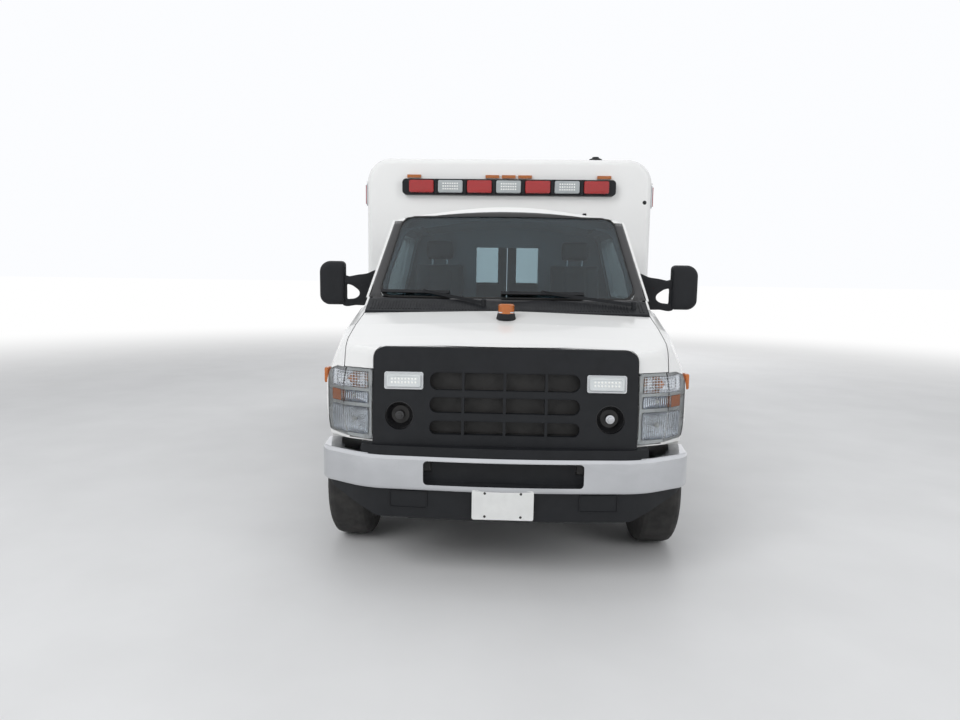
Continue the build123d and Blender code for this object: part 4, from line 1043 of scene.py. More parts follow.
def make_seats():
    """Cab seats: swollen cushions, backs and head rests, with bases, posts and hinge covers."""
    d0, d1, z0, z1 = CUSHION
    middle = (SEAT_LOW_X + SEAT_HIGH_X) / 2
    channels = (middle - 0.085, middle + 0.085)
    cushion = puffed("seat_cushion", [(d0, z0), (d0, z1), (d1, z1), (d1, z0)], SEAT_LOW_X, SEAT_HIGH_X,
                     0.012, 0.010,
                     channels)
    back = puffed("seat_back", BACK_OUTLINE, SEAT_LOW_X, SEAT_HIGH_X, 0.012, 0.010, channels)
    rest = puffed("head_rest", REST_OUTLINE, REST_LOW_X, REST_HIGH_X, 0.010, 0.008)
    for name, side in SIDES:
        for part, mesh in (("seat_cushion", cushion), ("seat_back", back), ("head_rest", rest)):
            add_pad(f"{part}_{name}", mesh, side, "cab_seats")
        base = bmesh.new()
        low_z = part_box("cab_seats")[0][2]
        add_box(base, (side * 0.350, y_at(1.680), low_z), (side * 0.715, y_at(2.020), z0))
        add_box(base, (side * 0.335, y_at(1.665), z0 - 0.045), (side * 0.730, y_at(2.050), z0 + 0.004))
        stand = piece(f"seat_base_{name}", base, "grey_trim", bevel=0.008, segments=3)
        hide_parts("cab_seats")
        posts = bmesh.new()
        for x in (0.475, 0.590):
            add_lathe(posts, [(0.0, -0.03), (0.007, -0.03), (0.007, 0.03), (0.0, 0.03)],
                      facing(side * x, 2.166, 1.685, (0, 0, 1)), 16)
        piece(f"head_rest_posts_{name}", posts, "chrome")
        cover = bmesh.new()
        for x in (SEAT_LOW_X - 0.002, SEAT_HIGH_X - 0.012):
            add_lathe(cover, [(0.0, 0.0), (0.050, 0.0), (0.052, 0.006), (0.048, 0.014), (0.0, 0.014)],
                      facing(side * x, 2.088, 1.110, (side, 0, 0)), 36)
        piece(f"seat_hinge_cover_{name}", cover, "grey_trim")


def make_bench():
    """Crew bench cushion with its sewn channels."""
    low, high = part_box("bench_cushion")
    d0, d1 = low[1] - FRONT_Y, high[1] - FRONT_Y
    outline = [(d0, low[2]), (d0, high[2]), (d1, high[2]), (d1, low[2])]
    mesh = puffed("bench", outline, -high[0], -low[0], 0.010, 0.013)
    normals = [vertex.normal.copy() for vertex in mesh.vertices]
    for vertex, normal in zip(mesh.vertices, normals):
        for share in (0.25, 0.5, 0.75):
            gap = abs(vertex.co.y - lerp(low[1], high[1], share))
            if abs(normal.y) < 0.7:
                vertex.co -= normal * 0.008 * max(0.0, 1 - gap / 0.018) ** 2
    add_pad("bench_pad", mesh, -1, "bench_cushion")


# Bumper, plate and valance

SLOT_Z = 0.596
PLATE_Z = 0.446
PLATE_HOLE_X = 0.0889
BUMPER_LOW_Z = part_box("front_bumper")[0][2]
BUMPER_HIGH_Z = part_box("front_bumper")[1][2]


def bumper_y(x):
    """Y of the bumper's front face at an x."""
    return front_of("front_bumper", x, BUMPER_LOW_Z + 0.015)


def make_bumper_skin():
    """The bumper again with its long front edges rolled over."""
    node = frame["nodes"]["front_bumper"]
    bm = bmesh.new()
    bm.from_mesh(node.data)
    bm.transform(node.matrix_world)
    bmesh.ops.remove_doubles(bm, verts=bm.verts, dist=0.00002)
    bmesh.ops.dissolve_limit(bm, angle_limit=radians(0.5), verts=bm.verts, edges=bm.edges)
    rolled = []
    for edge in bm.edges:
        heights = [vertex.co.z for vertex in edge.verts]
        level = abs(heights[0] - heights[1]) < 0.0001
        at_rim = min(abs(heights[0] - BUMPER_LOW_Z), abs(heights[0] - BUMPER_HIGH_Z)) < 0.0005
        outside = all(abs(v.co.x) > 0.962 or v.co.y < bumper_y(max(-0.96, min(0.96, v.co.x))) + 0.004
                      for v in edge.verts)
        if level and at_rim and outside:
            rolled.append(edge)
    bmesh.ops.bevel(bm, geom=rolled, offset=0.020, segments=6, profile=0.5, affect="EDGES")
    skin = piece("bumper_skin", bm, "chrome", sharp=30)
    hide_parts("front_bumper")


def make_bumper_details():
    """Slot lip, shelves, the valance's frames and the blank plate with its bolts and bracket."""
    loop = rectangle(0.800, 0.128, 0.024, 6)
    points = [(p.x, bumper_y(p.x) + 0.0065, SLOT_Z + p.y) for p in dense(loop, 0.05)]
    bead("bumper_slot_lip", points, (0, -1, 0), (0.012, 0.006), "chrome", bevel=0.001)
    for name, side in SIDES:
        shelf = bmesh.new()
        edge = [(side * x, bumper_y(side * x) + 0.012, BUMPER_HIGH_Z - 0.004) for x in
                (0.68, 0.74, 0.80, 0.86, 0.90, 0.935)]
        add_prism(shelf, edge + [(side * 0.945, y_at(0.37), edge[0][2]),
                                 (side * 0.68, y_at(0.37), edge[0][2])],
                  (0, 0, 0.0055))
        piece(f"bumper_shelf_{name}", shelf, "chrome", bevel=0.001)
        loop = dense(rectangle(0.190, 0.085, 0.012, 5), 0.03)
        spots = [(side * 0.474 + p.x, 0.451 + p.y) for p in loop]
        points = [(x, front_of("bumper_trim", x, z) + 0.0005, z) for x, z in spots]
        bead(f"valance_frame_{name}", points, (0, -1, 0), (0.008, 0.005), "black_plastic")

    plate = bmesh.new()
    loop = rectangle(0.305, 0.152, 0.010, 6)
    front_d = 0.004
    rings = []
    for scale, lift in ((1.0, 0.0), (1.0, 0.0012), (0.985, 0.0022), (0.955, 0.0022), (0.950, 0.0012)):
        rings.append([(p.x * scale, y_at(front_d - lift), PLATE_Z + p.y * scale) for p in loop])
    add_rings(plate, rings, cap_first=True)
    piece("front_plate", plate, "plate_white", slot="white_paint")
    bolts = bmesh.new()
    for x in (-PLATE_HOLE_X, PLATE_HOLE_X):
        for z in (PLATE_Z + 0.059, PLATE_Z - 0.059):
            add_lathe(bolts, [(0.0065, 0.0), (0.0065, 0.003), (0.004, 0.0045), (0.0, 0.0048)],
                      facing(x, front_d + 0.001, z, (0, -1, 0)), 18)
    piece("front_plate_bolts", bolts, "chassis_black")
    bracket = bmesh.new()
    for x in (-PLATE_HOLE_X, PLATE_HOLE_X):
        add_box(bracket, (x - 0.016, y_at(front_d + 0.001), PLATE_Z - 0.080),
                (x + 0.016, y_at(0.020), PLATE_Z + 0.055))
    piece("front_plate_bracket", bracket, "chassis_black", bevel=0.002)


def make_beacon_details():
    """Ribbed amber dome on a black tapered base."""
    paint_faces("hood_beacon", ["black_plastic", "amber_lens"], lambda p: 1 if p.z > 1.3615 else 0)
    place = facing(0.0, 0.560, 1.328, (0, 0, 1))
    turned("beacon_base",
           [(0.0545, -0.004), (0.0550, 0.010), (0.0525, 0.016), (0.0490, 0.033), (0.0460, 0.036)], place,
           64, "black_plastic", "hood_body")
    rings = bmesh.new()
    for index in range(5):
        z = 0.048 + index * 0.008
        add_lathe(rings, [(0.0445, z - 0.002), (0.0462, z), (0.0445, z + 0.002)], place, 64)
    piece("beacon_ribs", rings, "amber_lens", "hood_body")
    turned("beacon_band", [(0.0445, 0.036), (0.0485, 0.038), (0.0485, 0.043), (0.0455, 0.046)], place, 64,
           "chrome", "hood_body")


# Windscreen, cowl and wipers

# Half width and height of the windscreen's lower and upper edge
SCREEN_LOW = (0.808, 1.436)
SCREEN_HIGH = (0.706, 1.958)
# Name, ends of the blade, joint and pivot of each wiper, all as x
WIPERS = (("right", -0.785, -0.350, -0.505, -0.134), ("left", -0.033, 0.469, 0.218, 0.744))

def screen_strip(name, points, width, height, look, slot, closed=True, lift=0.0):
    """Bead over the windscreen's curved face along (x, z) points."""
    path = dense([Vector(point) for point in points], 0.04, closed)
    placed = [screen_point(p.x, p.y, lift) for p in path]
    normals = [(p.x / SCREEN_RADIUS, -SCREEN_RISE, SCREEN_RUN) for p in placed]
    bm = bmesh.new()
    add_strip(bm, placed, normals, width, height, closed)
    return piece(name, bm, look, slot=slot)


def make_screen_details():
    """Rubber edge of the windscreen, and the wipers' rubber, joints and caps."""
    (low_x, low_z), (high_x, high_z) = SCREEN_LOW, SCREEN_HIGH
    corners = [(-low_x, low_z), (low_x, low_z), (high_x, high_z), (-high_x, high_z)]
    outline = rounded(corners, [0.07, 0.07, 0.09, 0.09], 8)
    screen_strip("screen_rubber", outline, 0.016, 0.006, "rubber", "rubber", lift=0.001)
    for name, x0, x1, _, _ in WIPERS:
        points = [(x0, 1.4600), (x1, 1.4600)]
        screen_strip(f"wiper_rubber_{name}", points, 0.007, 0.012, "rubber", "rubber", closed=False,
                     lift=0.0005)
    for name, _, _, joint_x, _ in WIPERS:
        point = screen_point(joint_x, 1.476, 0.026)
        outward = Vector((joint_x / SCREEN_RADIUS, -SCREEN_RISE, SCREEN_RUN)).normalized()
        place = Matrix.Translation(point) @ turn_to(outward)
        turned(f"wiper_joint_{name}", [(0.013, -0.008), (0.013, 0.003), (0.008, 0.006), (0.0, 0.007)],
               place, 24, "black_plastic")
    for name, _, _, _, pivot_x in WIPERS:
        turned(f"wiper_cap_{name}", [(0.0165, 0.0), (0.0165, 0.008), (0.012, 0.013), (0.0, 0.015)],
               facing(pivot_x, 0.765, 1.420, (0, 0, 1)), 32, "black_plastic")


def screen_edge_x(z):
    """Half width of the windscreen's rubber at a height."""
    share = (z - SCREEN_LOW[1]) / (SCREEN_HIGH[1] - SCREEN_LOW[1])
    return lerp(SCREEN_LOW[0], SCREEN_HIGH[0], share)


def shell_point(x, z, lift):
    """Point in front of the cab shell, or of the screen's curve where the shell is open."""
    guess = screen_point(x, z, 0.004).y
    hit = front_of("cab_shell", x, z)
    near = guess if hit is None or abs(hit - guess) > 0.03 else min(hit, guess)
    return Vector((x, near - lift, z))


def screen_band(name, columns, lift=0.0035):
    """Thin dark sheet over the pillars or roof edge: columns of (x, z) points on the screen's curve."""
    bm = bmesh.new()
    rows = [[bm.verts.new(shell_point(x, z, lift)) for x, z in column] for column in columns]
    for low, high in zip(rows, rows[1:]):
        for index in range(len(low) - 1):
            bm.faces.new([low[index], low[index + 1], high[index + 1], high[index]])
    band = piece(name, bm, "gloss_black", slot="black_plastic")
    modifier = band.modifiers.new("thickness", "SOLIDIFY")
    modifier.thickness = 0.0015


def make_screen_surround():
    """Black border from the glass to the cab's edges, with an arched top."""
    for name, side in SIDES:
        columns = []
        for index in range(21):
            z = lerp(1.432, 1.932, index / 20)
            inner = screen_edge_x(z) - 0.002 - max(0.0, 1.470 - z)
            outer = side_x(z) - 0.006
            columns.append([(side * lerp(inner, outer, step / 5), z) for step in range(6)])
        screen_band(f"pillar_band_{name}", columns)
    columns = []
    for index in range(41):
        x = lerp(-0.56, 0.56, index / 40)
        arch = 1.990 - 0.052 * (x / 0.70) ** 2
        columns.append([(x, lerp(1.956, arch, step / 3)) for step in range(4)])
    screen_band("screen_top_band", columns, 0.005)
    columns = []
    for index in range(41):
        x = lerp(-0.862, 0.862, index / 40)
        high_z = 1.438 + 0.030 * max(0.0, (abs(x) - 0.76) / 0.05) ** 2 if abs(x) < 0.81 else 1.468
        columns.append([(x, lerp(1.402, high_z, step / 3)) for step in range(4)])
    screen_band("screen_base_band", columns)
    for name, side in SIDES:
        path = []
        for index in range(25):
            z = lerp(1.425, 1.935, index / 24)
            front = screen_point(side * (side_x(z) - 0.004), z, 0.004)
            path.append((side * (side_x(z) - 0.002), front.y + 0.010, z))
        bead(f"pillar_rail_{name}", path, (side, -0.25, 0.25), (0.016, 0.013), "white_paint", closed=False)


def make_cowl_details():
    """Raised ribs of the cowl's air slots, left out round the wipers' pivots."""
    ribs = bmesh.new()
    rise = Vector((0, 0.124, 0.064)).normalized()
    for index in range(92):
        x = -0.80 + index * 0.0175
        if any(abs(x - pivot_x) < 0.022 for _, _, _, _, pivot_x in WIPERS):
            continue
        loop = [Vector((x, y_at(d), z - 0.001)) for d, z in ((0.722, 1.3703), (0.812, 1.4167))]
        top = [point + Vector((0, -rise.z, rise.y)) * 0.006 for point in reversed(loop)]
        add_prism(ribs, loop + top, (0.006, 0, 0))
    piece("cowl_ribs", ribs, "black_plastic", smooth=False)


# Mirrors

def mirror_outer_x(name, side):
    """Distance of a mirror's outer side from the middle."""
    low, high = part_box(f"mirror_{name}")
    return high[0] if side > 0 else -low[0]


def make_mirror_details():
    """Mirror glass with a rounded rim, and a small convex glass under it."""
    for name, side in SIDES:
        middle_x = (MIRROR_INNER_X + mirror_outer_x(name, side)) / 2
        rear_y = y_at(MIRROR_REAR_D)
        body = f"cab_door_{name}_body"
        for part, z, height in (("upper", 1.558, 0.156), ("lower", 1.424, 0.074)):
            glass = bmesh.new()
            loop = rectangle(0.128, height, 0.018, 6)
            add_prism(glass, [(side * middle_x + p.x, rear_y - 0.002, z + p.y) for p in loop],
                      (0, 0.004, 0))
            piece(f"mirror_glass_{part}_{name}", glass, "mirror_glass", body, "chrome", bevel=0.0015)
            loop = rectangle(0.140, height + 0.012, 0.022, 6)
            points = [(side * middle_x + p.x, rear_y - 0.0005, z + p.y) for p in loop]
            bead(f"mirror_rim_{part}_{name}", points, (0, 1, 0), (0.010, 0.006), "black_plastic", body)


def curved_outline(points, knots_per_span=6):
    """Smooth closed curve through (x, z) points."""
    count = len(points)
    result = []
    for index in range(count):
        a, b, c, d = (Vector(points[(index + step) % count]) for step in (-1, 0, 1, 2))
        for step in range(knots_per_span):
            t = step / knots_per_span
            result.append(0.5 * ((2 * b) + (c - a) * t + (2 * a - 5 * b + 4 * c - d) * t * t
                                 + (3 * b - a - 3 * c + d) * t * t * t))
    return result


def sheet_form(name, loops, thickness, bevel, place_point, look, body, slot):
    """Flat form with holes, given as loops, thickened and then placed point by point."""
    curve = bpy.data.curves.new(name, "CURVE")
    curve.dimensions = "2D"
    curve.fill_mode = "BOTH"
    curve.extrude = thickness / 2 - bevel
    curve.bevel_depth = bevel
    curve.bevel_resolution = 3
    for loop in loops:
        spline = curve.splines.new("POLY")
        spline.points.add(len(loop) - 1)
        for knot, point in zip(spline.points, loop):
            knot.co = (point.x, point.y, 0, 1)
        spline.use_cyclic_u = True
    bm = bmesh.new()
    bm.from_mesh(curve_mesh(curve))
    bmesh.ops.remove_doubles(bm, verts=bm.verts, dist=0.00005)
    for vertex in bm.verts:
        vertex.co = place_point(vertex.co)
    return piece(name, bm, look, body, slot)


MIRROR_INNER_X = 1.068
MIRROR_REAR_D = DOOR_FRONT_D + 0.010
MIRROR_LOW_Z = 1.369
MIRROR_HIGH_Z = 1.656
# Outer edge of the arm plate and of the gap in it, as x and height
MIRROR_ARM_EDGE = [(1.085, 1.542), (1.040, 1.549), (0.990, 1.560), (0.930, 1.570), (0.880, 1.592),
                   (0.838, 1.598),
                   (0.842, 1.520), (0.868, 1.430), (0.888, 1.372), (0.940, 1.372), (1.000, 1.374),
                   (1.085, 1.380)]
MIRROR_ARM_GAP = [(1.064, 1.508), (1.030, 1.507), (1.002, 1.490), (0.980, 1.470), (0.972, 1.450),
                  (0.978, 1.425),
                  (1.003, 1.406), (1.035, 1.400), (1.064, 1.404), (1.067, 1.455)]


def arm_point(side, co):
    """Place of a point of the arm plate, which slants back towards the door."""
    return Vector((side * co.x, y_at(1.232 + (1.098 - co.x) * 0.32) + co.z, co.y))


def make_mirror_heads():
    """Mirror heads with a strongly rounded outer side, and their forked arm plates."""
    middle_z = (MIRROR_LOW_Z + MIRROR_HIGH_Z) / 2
    for name, side in SIDES:
        body = f"cab_door_{name}_body"
        outer = mirror_outer_x(name, side)
        middle_x = (MIRROR_INNER_X + outer) / 2
        half_w = (outer - MIRROR_INNER_X) / 2
        half_h = (MIRROR_HIGH_Z - MIRROR_LOW_Z) / 2
        outline = rounded([(-half_w, -half_h), (half_w, -half_h), (half_w, half_h), (-half_w, half_h)],
                          [0.030, 0.062, 0.070, 0.028], 10)
        head = bmesh.new()
        rings = []
        for lift, scale in ((0.004, 0.93), (0.0, 0.97), (0.003, 1.0), (0.030, 1.0), (0.050, 0.975),
                            (0.062, 0.92),
                            (0.068, 0.84), (0.070, 0.70)):
            y = y_at(MIRROR_REAR_D - lift)
            rings.append([(side * (middle_x + p.x * scale), y, middle_z + p.y * scale) for p in outline])
        add_rings(head, rings, cap_first=True)
        head = piece(f"mirror_head_{name}", head, "black_plastic", body)
        arm = sheet_form(f"mirror_arm_{name}",
                         [curved_outline(MIRROR_ARM_EDGE), curved_outline(MIRROR_ARM_GAP)],
                         0.030, 0.008, lambda co: arm_point(side, co), "black_plastic", body,
                         "black_plastic")
        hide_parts(f"mirror_{name}")
        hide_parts(f"mirror_{name}")


# Light bar and module lamps

def paint_faces(node, looks, rule):
    """Gives each face of a CAD node the look that its place asks for."""
    mesh = frame["nodes"][node].data
    matrix = frame["nodes"][node].matrix_world
    mesh.materials.clear()
    for look in looks:
        mesh.materials.append(LOOKS[look])
    for polygon in mesh.polygons:
        polygon.material_index = rule(matrix @ polygon.center)


HEAD_PITCH = 0.230
HEAD_Z = 2.273
HEAD_FRONT_D = 2.210


def make_light_bar_details():
    """Lens colours, moulded lens covers, LED rows and dark dividers."""
    paint_faces("light_bar_heads", ["red_lens", "smoked_clear"],
                lambda p: int(round(p.x / HEAD_PITCH) + 3) % 2)
    covers = (bmesh.new(), bmesh.new())
    leds = bmesh.new()
    for index in range(7):
        x = (index - 3) * HEAD_PITCH
        rings = []
        for scale, lift in ((1.0, 0.0), (1.0, 0.006), (0.965, 0.011), (0.90, 0.0125)):
            loop = rectangle(0.192 * (1 - (1 - scale) * 0.5), 0.092 * scale, 0.013 * scale, 5)
            rings.append([(x + p.x, y_at(HEAD_FRONT_D - lift), HEAD_Z + p.y) for p in loop])
        add_rings(covers[index % 2], rings, cap_first=True)
        if index % 2:
            for row in range(3):
                for column in range(7):
                    place = facing(x + (column - 3) * 0.0185, HEAD_FRONT_D - 0.0125,
                                   HEAD_Z + (row - 1) * 0.021,
                                   (0, -1, 0))
                    add_lathe(leds, [(0.0062, 0.0), (0.0058, 0.0018), (0.003, 0.003), (0.0, 0.0032)],
                              place, 12)
    piece("light_bar_red_covers", finish_mesh("red", covers[0]), "red_lens")
    piece("light_bar_clear_covers", finish_mesh("clear", covers[1]), "smoked_clear", slot="clear_lens")
    piece("light_bar_leds", leds, "led", slot="clear_lens")
    dividers = bmesh.new()
    for index in range(6):
        x = (index - 2.5) * HEAD_PITCH
        add_box(dividers, (x - 0.011, y_at(HEAD_FRONT_D - 0.006), HEAD_Z - 0.052),
                (x + 0.011, y_at(2.240), HEAD_Z + 0.052))
    piece("light_bar_dividers", dividers, "black_plastic", bevel=0.003)


def lamp_look(point):
    """Which look, red, amber or clear, a face of the module's lamps has."""
    if point.y < MODULE_FRONT_Y + 0.001:
        return 1
    if point.y > MODULE_REAR_Y - 0.001:
        return 1 if point.z < 0.79 else 0
    return 2 if abs(point.y - y_at(4.25)) < 0.2 else 0


MODULE_SIDE_LAMPS = [(2.465, "red_lens"), (4.250, "clear_edge"), (5.880, "red_lens")]


def make_module_lamp_details():
    """Lens colours and a chrome bezel round every lamp on the module."""
    paint_faces("module_lamps", ["red_lens", "amber_lens", "clear_edge"], lamp_look)
    for name, side in SIDES:
        for d, look in MODULE_SIDE_LAMPS:
            bezel = bmesh.new()
            loop = rectangle(0.246, 0.166, 0.014, 5)
            points = [(side * MODULE_HALF_WIDTH, y_at(d) + p.x, 2.220 + p.y) for p in loop]
            add_strip(bezel, points, [(side, 0, 0)] * len(points), 0.020, 0.010)
            tag = f"{name}_{int(d * 1000)}"
            piece(f"side_lamp_bezel_{tag}", bezel, "chrome", bevel=0.001)
            ribs = bmesh.new()
            for index in range(9):
                y = y_at(d) + (index - 4) * 0.024
                add_box(ribs, (side * (MODULE_HALF_WIDTH + 0.0175), y - 0.003, 2.155),
                        (side * (MODULE_HALF_WIDTH + 0.0200), y + 0.003, 2.285))
            piece(f"side_lamp_ribs_{tag}", ribs, look, slot="red_lens", bevel=0.0008)
    for x, z, width in ((0.960, 2.160, 0.230), (0.980, 0.700, 0.150), (0.980, 0.880, 0.150)):
        for name, side in SIDES:
            loop = rectangle(width + 0.016, 0.166, 0.014, 5)
            points = [(side * x + p.x, MODULE_REAR_Y, z + p.y) for p in loop]
            bead(f"rear_lamp_bezel_{name}_{int(z * 1000)}", points, (0, 1, 0), (0.020, 0.010), "chrome",
                 bevel=0.001)


# Wheels and tyres

TYRE_RADIUS = 0.372
# Distance and height of the axles
FRONT_AXLE = (0.800, TYRE_RADIUS)
REAR_AXLE = (4.305, TYRE_RADIUS)
# X of the tyres' middles, and of a rim's lip outside them
FRONT_TYRE_X = 0.8815
REAR_OUTER_TYRE_X = 1.0975
REAR_INNER_TYRE_X = 0.8075
RIM_LIP_OFFSET = 0.0825
TREAD_BLOCKS = 56


def across(x, d, z, side):
    """Place on a wheel's centre whose own Z axis points outwards."""
    return facing(side * x, d, z, (side, 0, 0))


def make_tread(name, x, axle, body):
    """Blocks and grooves of a tread: three ribs of slanted blocks and two shoulder rows."""
    bm = bmesh.new()
    d, z = axle
    rows = [(-0.072, 0.020, 0.35), (-0.036, 0.026, 0.0), (0.0, 0.026, 0.5), (0.036, 0.026, 0.0),
            (0.072, 0.020, 0.35)]
    for offset, width, phase in rows:
        for index in range(TREAD_BLOCKS):
            angle = 2 * pi * (index + phase) / TREAD_BLOCKS
            span = 2 * pi / TREAD_BLOCKS * 0.42
            lean = 0.18 if offset < 0 else -0.18
            inner = TYRE_RADIUS - 0.003
            outer = TYRE_RADIUS + 0.0016 - (0.004 if abs(offset) > 0.05 else 0.0)
            corners = []
            for radius in (inner, outer):
                for side_step, turn_step in ((-1, -1), (1, -1), (1, 1), (-1, 1)):
                    a = angle + turn_step * span + side_step * lean * span
                    corners.append(bm.verts.new((x + offset + side_step * width / 2,
                                                 y_at(d) + radius * cos(a),
                                                 z + radius * sin(a))))
            for face in ((4, 5, 6, 7), (0, 1, 5, 4), (1, 2, 6, 5), (2, 3, 7, 6), (3, 0, 4, 7)):
                bm.faces.new([corners[i] for i in face])
    piece(name, bm, "tyre", body, smooth=False)


def make_sidewall(name, side, x, axle, body):
    """Raised rings and shoulder lugs on a tyre's outer side."""
    d, z = axle
    bm = bmesh.new()
    place = facing(x, d, z, (side, 0, 0))
    for radius, lift in ((0.238, 0.1035), (0.300, 0.1125), (0.338, 0.1085)):
        add_lathe(bm, [(radius - 0.004, lift - 0.002), (radius - 0.002, lift + 0.0012),
                       (radius + 0.002, lift + 0.0012), (radius + 0.004, lift - 0.002)], place, 96)
    for index in range(TREAD_BLOCKS):
        angle = 2 * pi * index / TREAD_BLOCKS
        turn = place @ Matrix.Rotation(angle, 4, "Z")
        loop = [Vector((0.340, -0.006, 0.1050)), Vector((0.357, -0.008, 0.0940)),
                Vector((0.357, 0.008, 0.0940)),
                Vector((0.340, 0.006, 0.1050))]
        add_prism(bm, [turn @ p for p in loop], (turn.to_3x3() @ Vector((0.003, 0, 0.004))))
    piece(name, bm, "tyre", body)


def make_wheel_details():
    """Treads, sidewalls, nuts, hub caps and rim lips of the wheels."""
    for name, side in SIDES:
        front_body = f"front_wheel_{name}"
        rear_body = f"rear_wheels_{name}"
        make_tread(f"tread_front_{name}", side * FRONT_TYRE_X, FRONT_AXLE, front_body)
        make_sidewall(f"sidewall_front_{name}", side, side * FRONT_TYRE_X, FRONT_AXLE, front_body)
        make_tread(f"tread_rear_outer_{name}", side * REAR_OUTER_TYRE_X, REAR_AXLE, rear_body)
        make_tread(f"tread_rear_inner_{name}", side * REAR_INNER_TYRE_X, REAR_AXLE, rear_body)
        make_sidewall(f"sidewall_rear_{name}", side, side * REAR_OUTER_TYRE_X, REAR_AXLE, rear_body)
        for part, body, axle, face_x, circle, cap_x in (
            ("front", front_body, FRONT_AXLE, 0.9370, 0.086, 0.9475),
            ("rear", rear_body, REAR_AXLE, 0.9665, 0.092, 1.0825),
        ):
            nuts = bmesh.new()
            place = across(face_x, *axle, side)
            for index in range(8):
                angle = 2 * pi * index / 8
                spot = place @ Matrix.Translation((circle * cos(angle), circle * sin(angle), 0))
                add_lathe(nuts, [(0.015, 0.0), (0.015, 0.004), (0.0125, 0.005), (0.0125, 0.020),
                                 (0.0095, 0.023),
                                 (0.006, 0.023), (0.006, 0.030), (0.0, 0.031)], spot, 6)
            piece(f"wheel_nuts_{part}_{name}", nuts, "chrome", body)
            reach = cap_x - face_x
            turned(f"hub_cap_{part}_{name}",
                   [(0.066, reach - 0.010), (0.066, reach + 0.002), (0.060, reach + 0.014),
                    (0.045, reach + 0.020), (0.020, reach + 0.023), (0.0, reach + 0.024)],
                   place, 48, "chrome", body)
            lip_x = (FRONT_TYRE_X if part == "front" else REAR_OUTER_TYRE_X) + RIM_LIP_OFFSET
            turned(f"rim_lip_{part}_{name}",
                   [(0.2165, -0.002), (0.2175, 0.002), (0.2120, 0.004), (0.1930, 0.002), (0.1915, -0.004)],
                   across(lip_x, *axle, side), 96, "wheel_steel", body)


# Cab body hardware

# Distance of the side markers
MARKER_D = 0.360


def on_side(side, path, lift=0.0):
    """Points on the cab's side from distances and heights."""
    return [(side * (side_x(p.y) + lift), y_at(p.x), p.y) for p in path]


def make_cab_details():
    """Window rubbers, door handles, locks and guards, side markers, drip rails and fuel flap."""
    window = [(1.335, 1.425), (1.335, 1.585), (1.545, 1.842), (2.115, 1.842), (2.115, 1.425)]
    for name, side in SIDES:
        body = f"cab_door_{name}_body"
        outline = rounded(window, [0.03, 0.06, 0.06, 0.06, 0.04], 6)
        points = on_side(side, dense(outline, 0.05), -0.001)
        bead(f"cab_window_rubber_{name}", points, (side, 0, 0.25), (0.016, 0.006), "rubber", body)
        points = on_side(side, evenly([(1.545, 1.425), (1.545, 1.842)], 10), -0.020)
        bead(f"cab_window_divider_{name}", points, (side, 0, 0.25), (0.022, 0.012), "rubber", body,
             closed=False)

        handle = bmesh.new()
        z = 1.165
        x = side_x(z)
        loop = rectangle(0.150, 0.058, 0.022, 6)
        ring = [(side * (x + 0.0005), y_at(2.060) + p.x, z + p.y) for p in loop]
        add_strip(handle, ring, [(side, 0, 0)] * len(ring), 0.010, 0.006)
        loop = rectangle(0.118, 0.026, 0.010, 5)
        add_prism(handle, [(side * (x + 0.004), y_at(2.060) + p.x, z + 0.004 + p.y) for p in loop],
                  (side * 0.016, 0, 0))
        piece(f"cab_door_handle_{name}", handle, "black_plastic", body, bevel=0.004, segments=3)
        turned(f"cab_door_lock_{name}", [(0.014, -0.002), (0.014, 0.003), (0.010, 0.0045), (0.0, 0.0045)],
               facing(side * side_x(1.098), 2.110, 1.098, (side, 0, 0.15)), 28, "chrome", body)
        points = on_side(side, evenly([(DOOR_FRONT_D + 0.01, 0.700), (DOOR_REAR_D - 0.01, 0.700)], 8))
        bead(f"cab_door_guard_{name}", points, (side, 0, 0), (0.050, 0.012), "black_plastic", body,
             closed=False)

        marker = bmesh.new()
        loop = rectangle(0.070, 0.082, 0.012, 5)
        x = along(NOSE_SIDE, MARKER_D)
        add_prism(marker, [(side * (x - 0.012), y_at(MARKER_D) + p.x, 1.030 + p.y) for p in loop],
                  (side * 0.018, 0, 0))
        piece(f"side_marker_{name}", marker, "amber_lens", bevel=0.003)

        points = on_side(side, evenly([(1.285, 1.600), (1.530, 1.918), (2.190, 1.920)], 8), -0.001)
        bead(f"drip_rail_{name}", points, (side, 0, 0.4), (0.010, 0.007), "white_paint", closed=False)

    x = side_x(1.02) + 0.0004
    ring = [(x, y_at(2.2425) + p.x * 0.2, 1.10 + p.y) for p in rectangle(0.14, 0.14, 0.02, 6)]
    bead("fuel_flap_edge", ring, (1, 0, 0), (0.004, 0.002), "black_plastic")


# Module hardware

# Body, side, front and rear distance, lower and upper height of the doors in the module's sides
SIDE_DOOR = ("side_door_body", -1, 2.620, 3.380, 0.560, 2.200)
LEFT_LOCKER = ("locker_door_left_body", 1, 2.550, 3.150, 0.530, 2.100)
RIGHT_LOCKER = ("locker_door_right_body", -1, 5.150, 5.850, 0.530, 2.100)


def flank(side, d, z, lift=0.0):
    """Point on the module's side, lifted outwards."""
    return (side * (MODULE_HALF_WIDTH + lift), y_at(d), z)


# Antenna's x and distance
ANTENNA = (0.700, 2.416)


def upright(point, heading):
    """Place on a wall whose own X axis is level, Y axis points up and Z axis points outwards."""
    return Matrix.Translation(point) @ Matrix.Rotation(heading, 4, "Z") @ Matrix.Rotation(pi / 2, 4, "X")


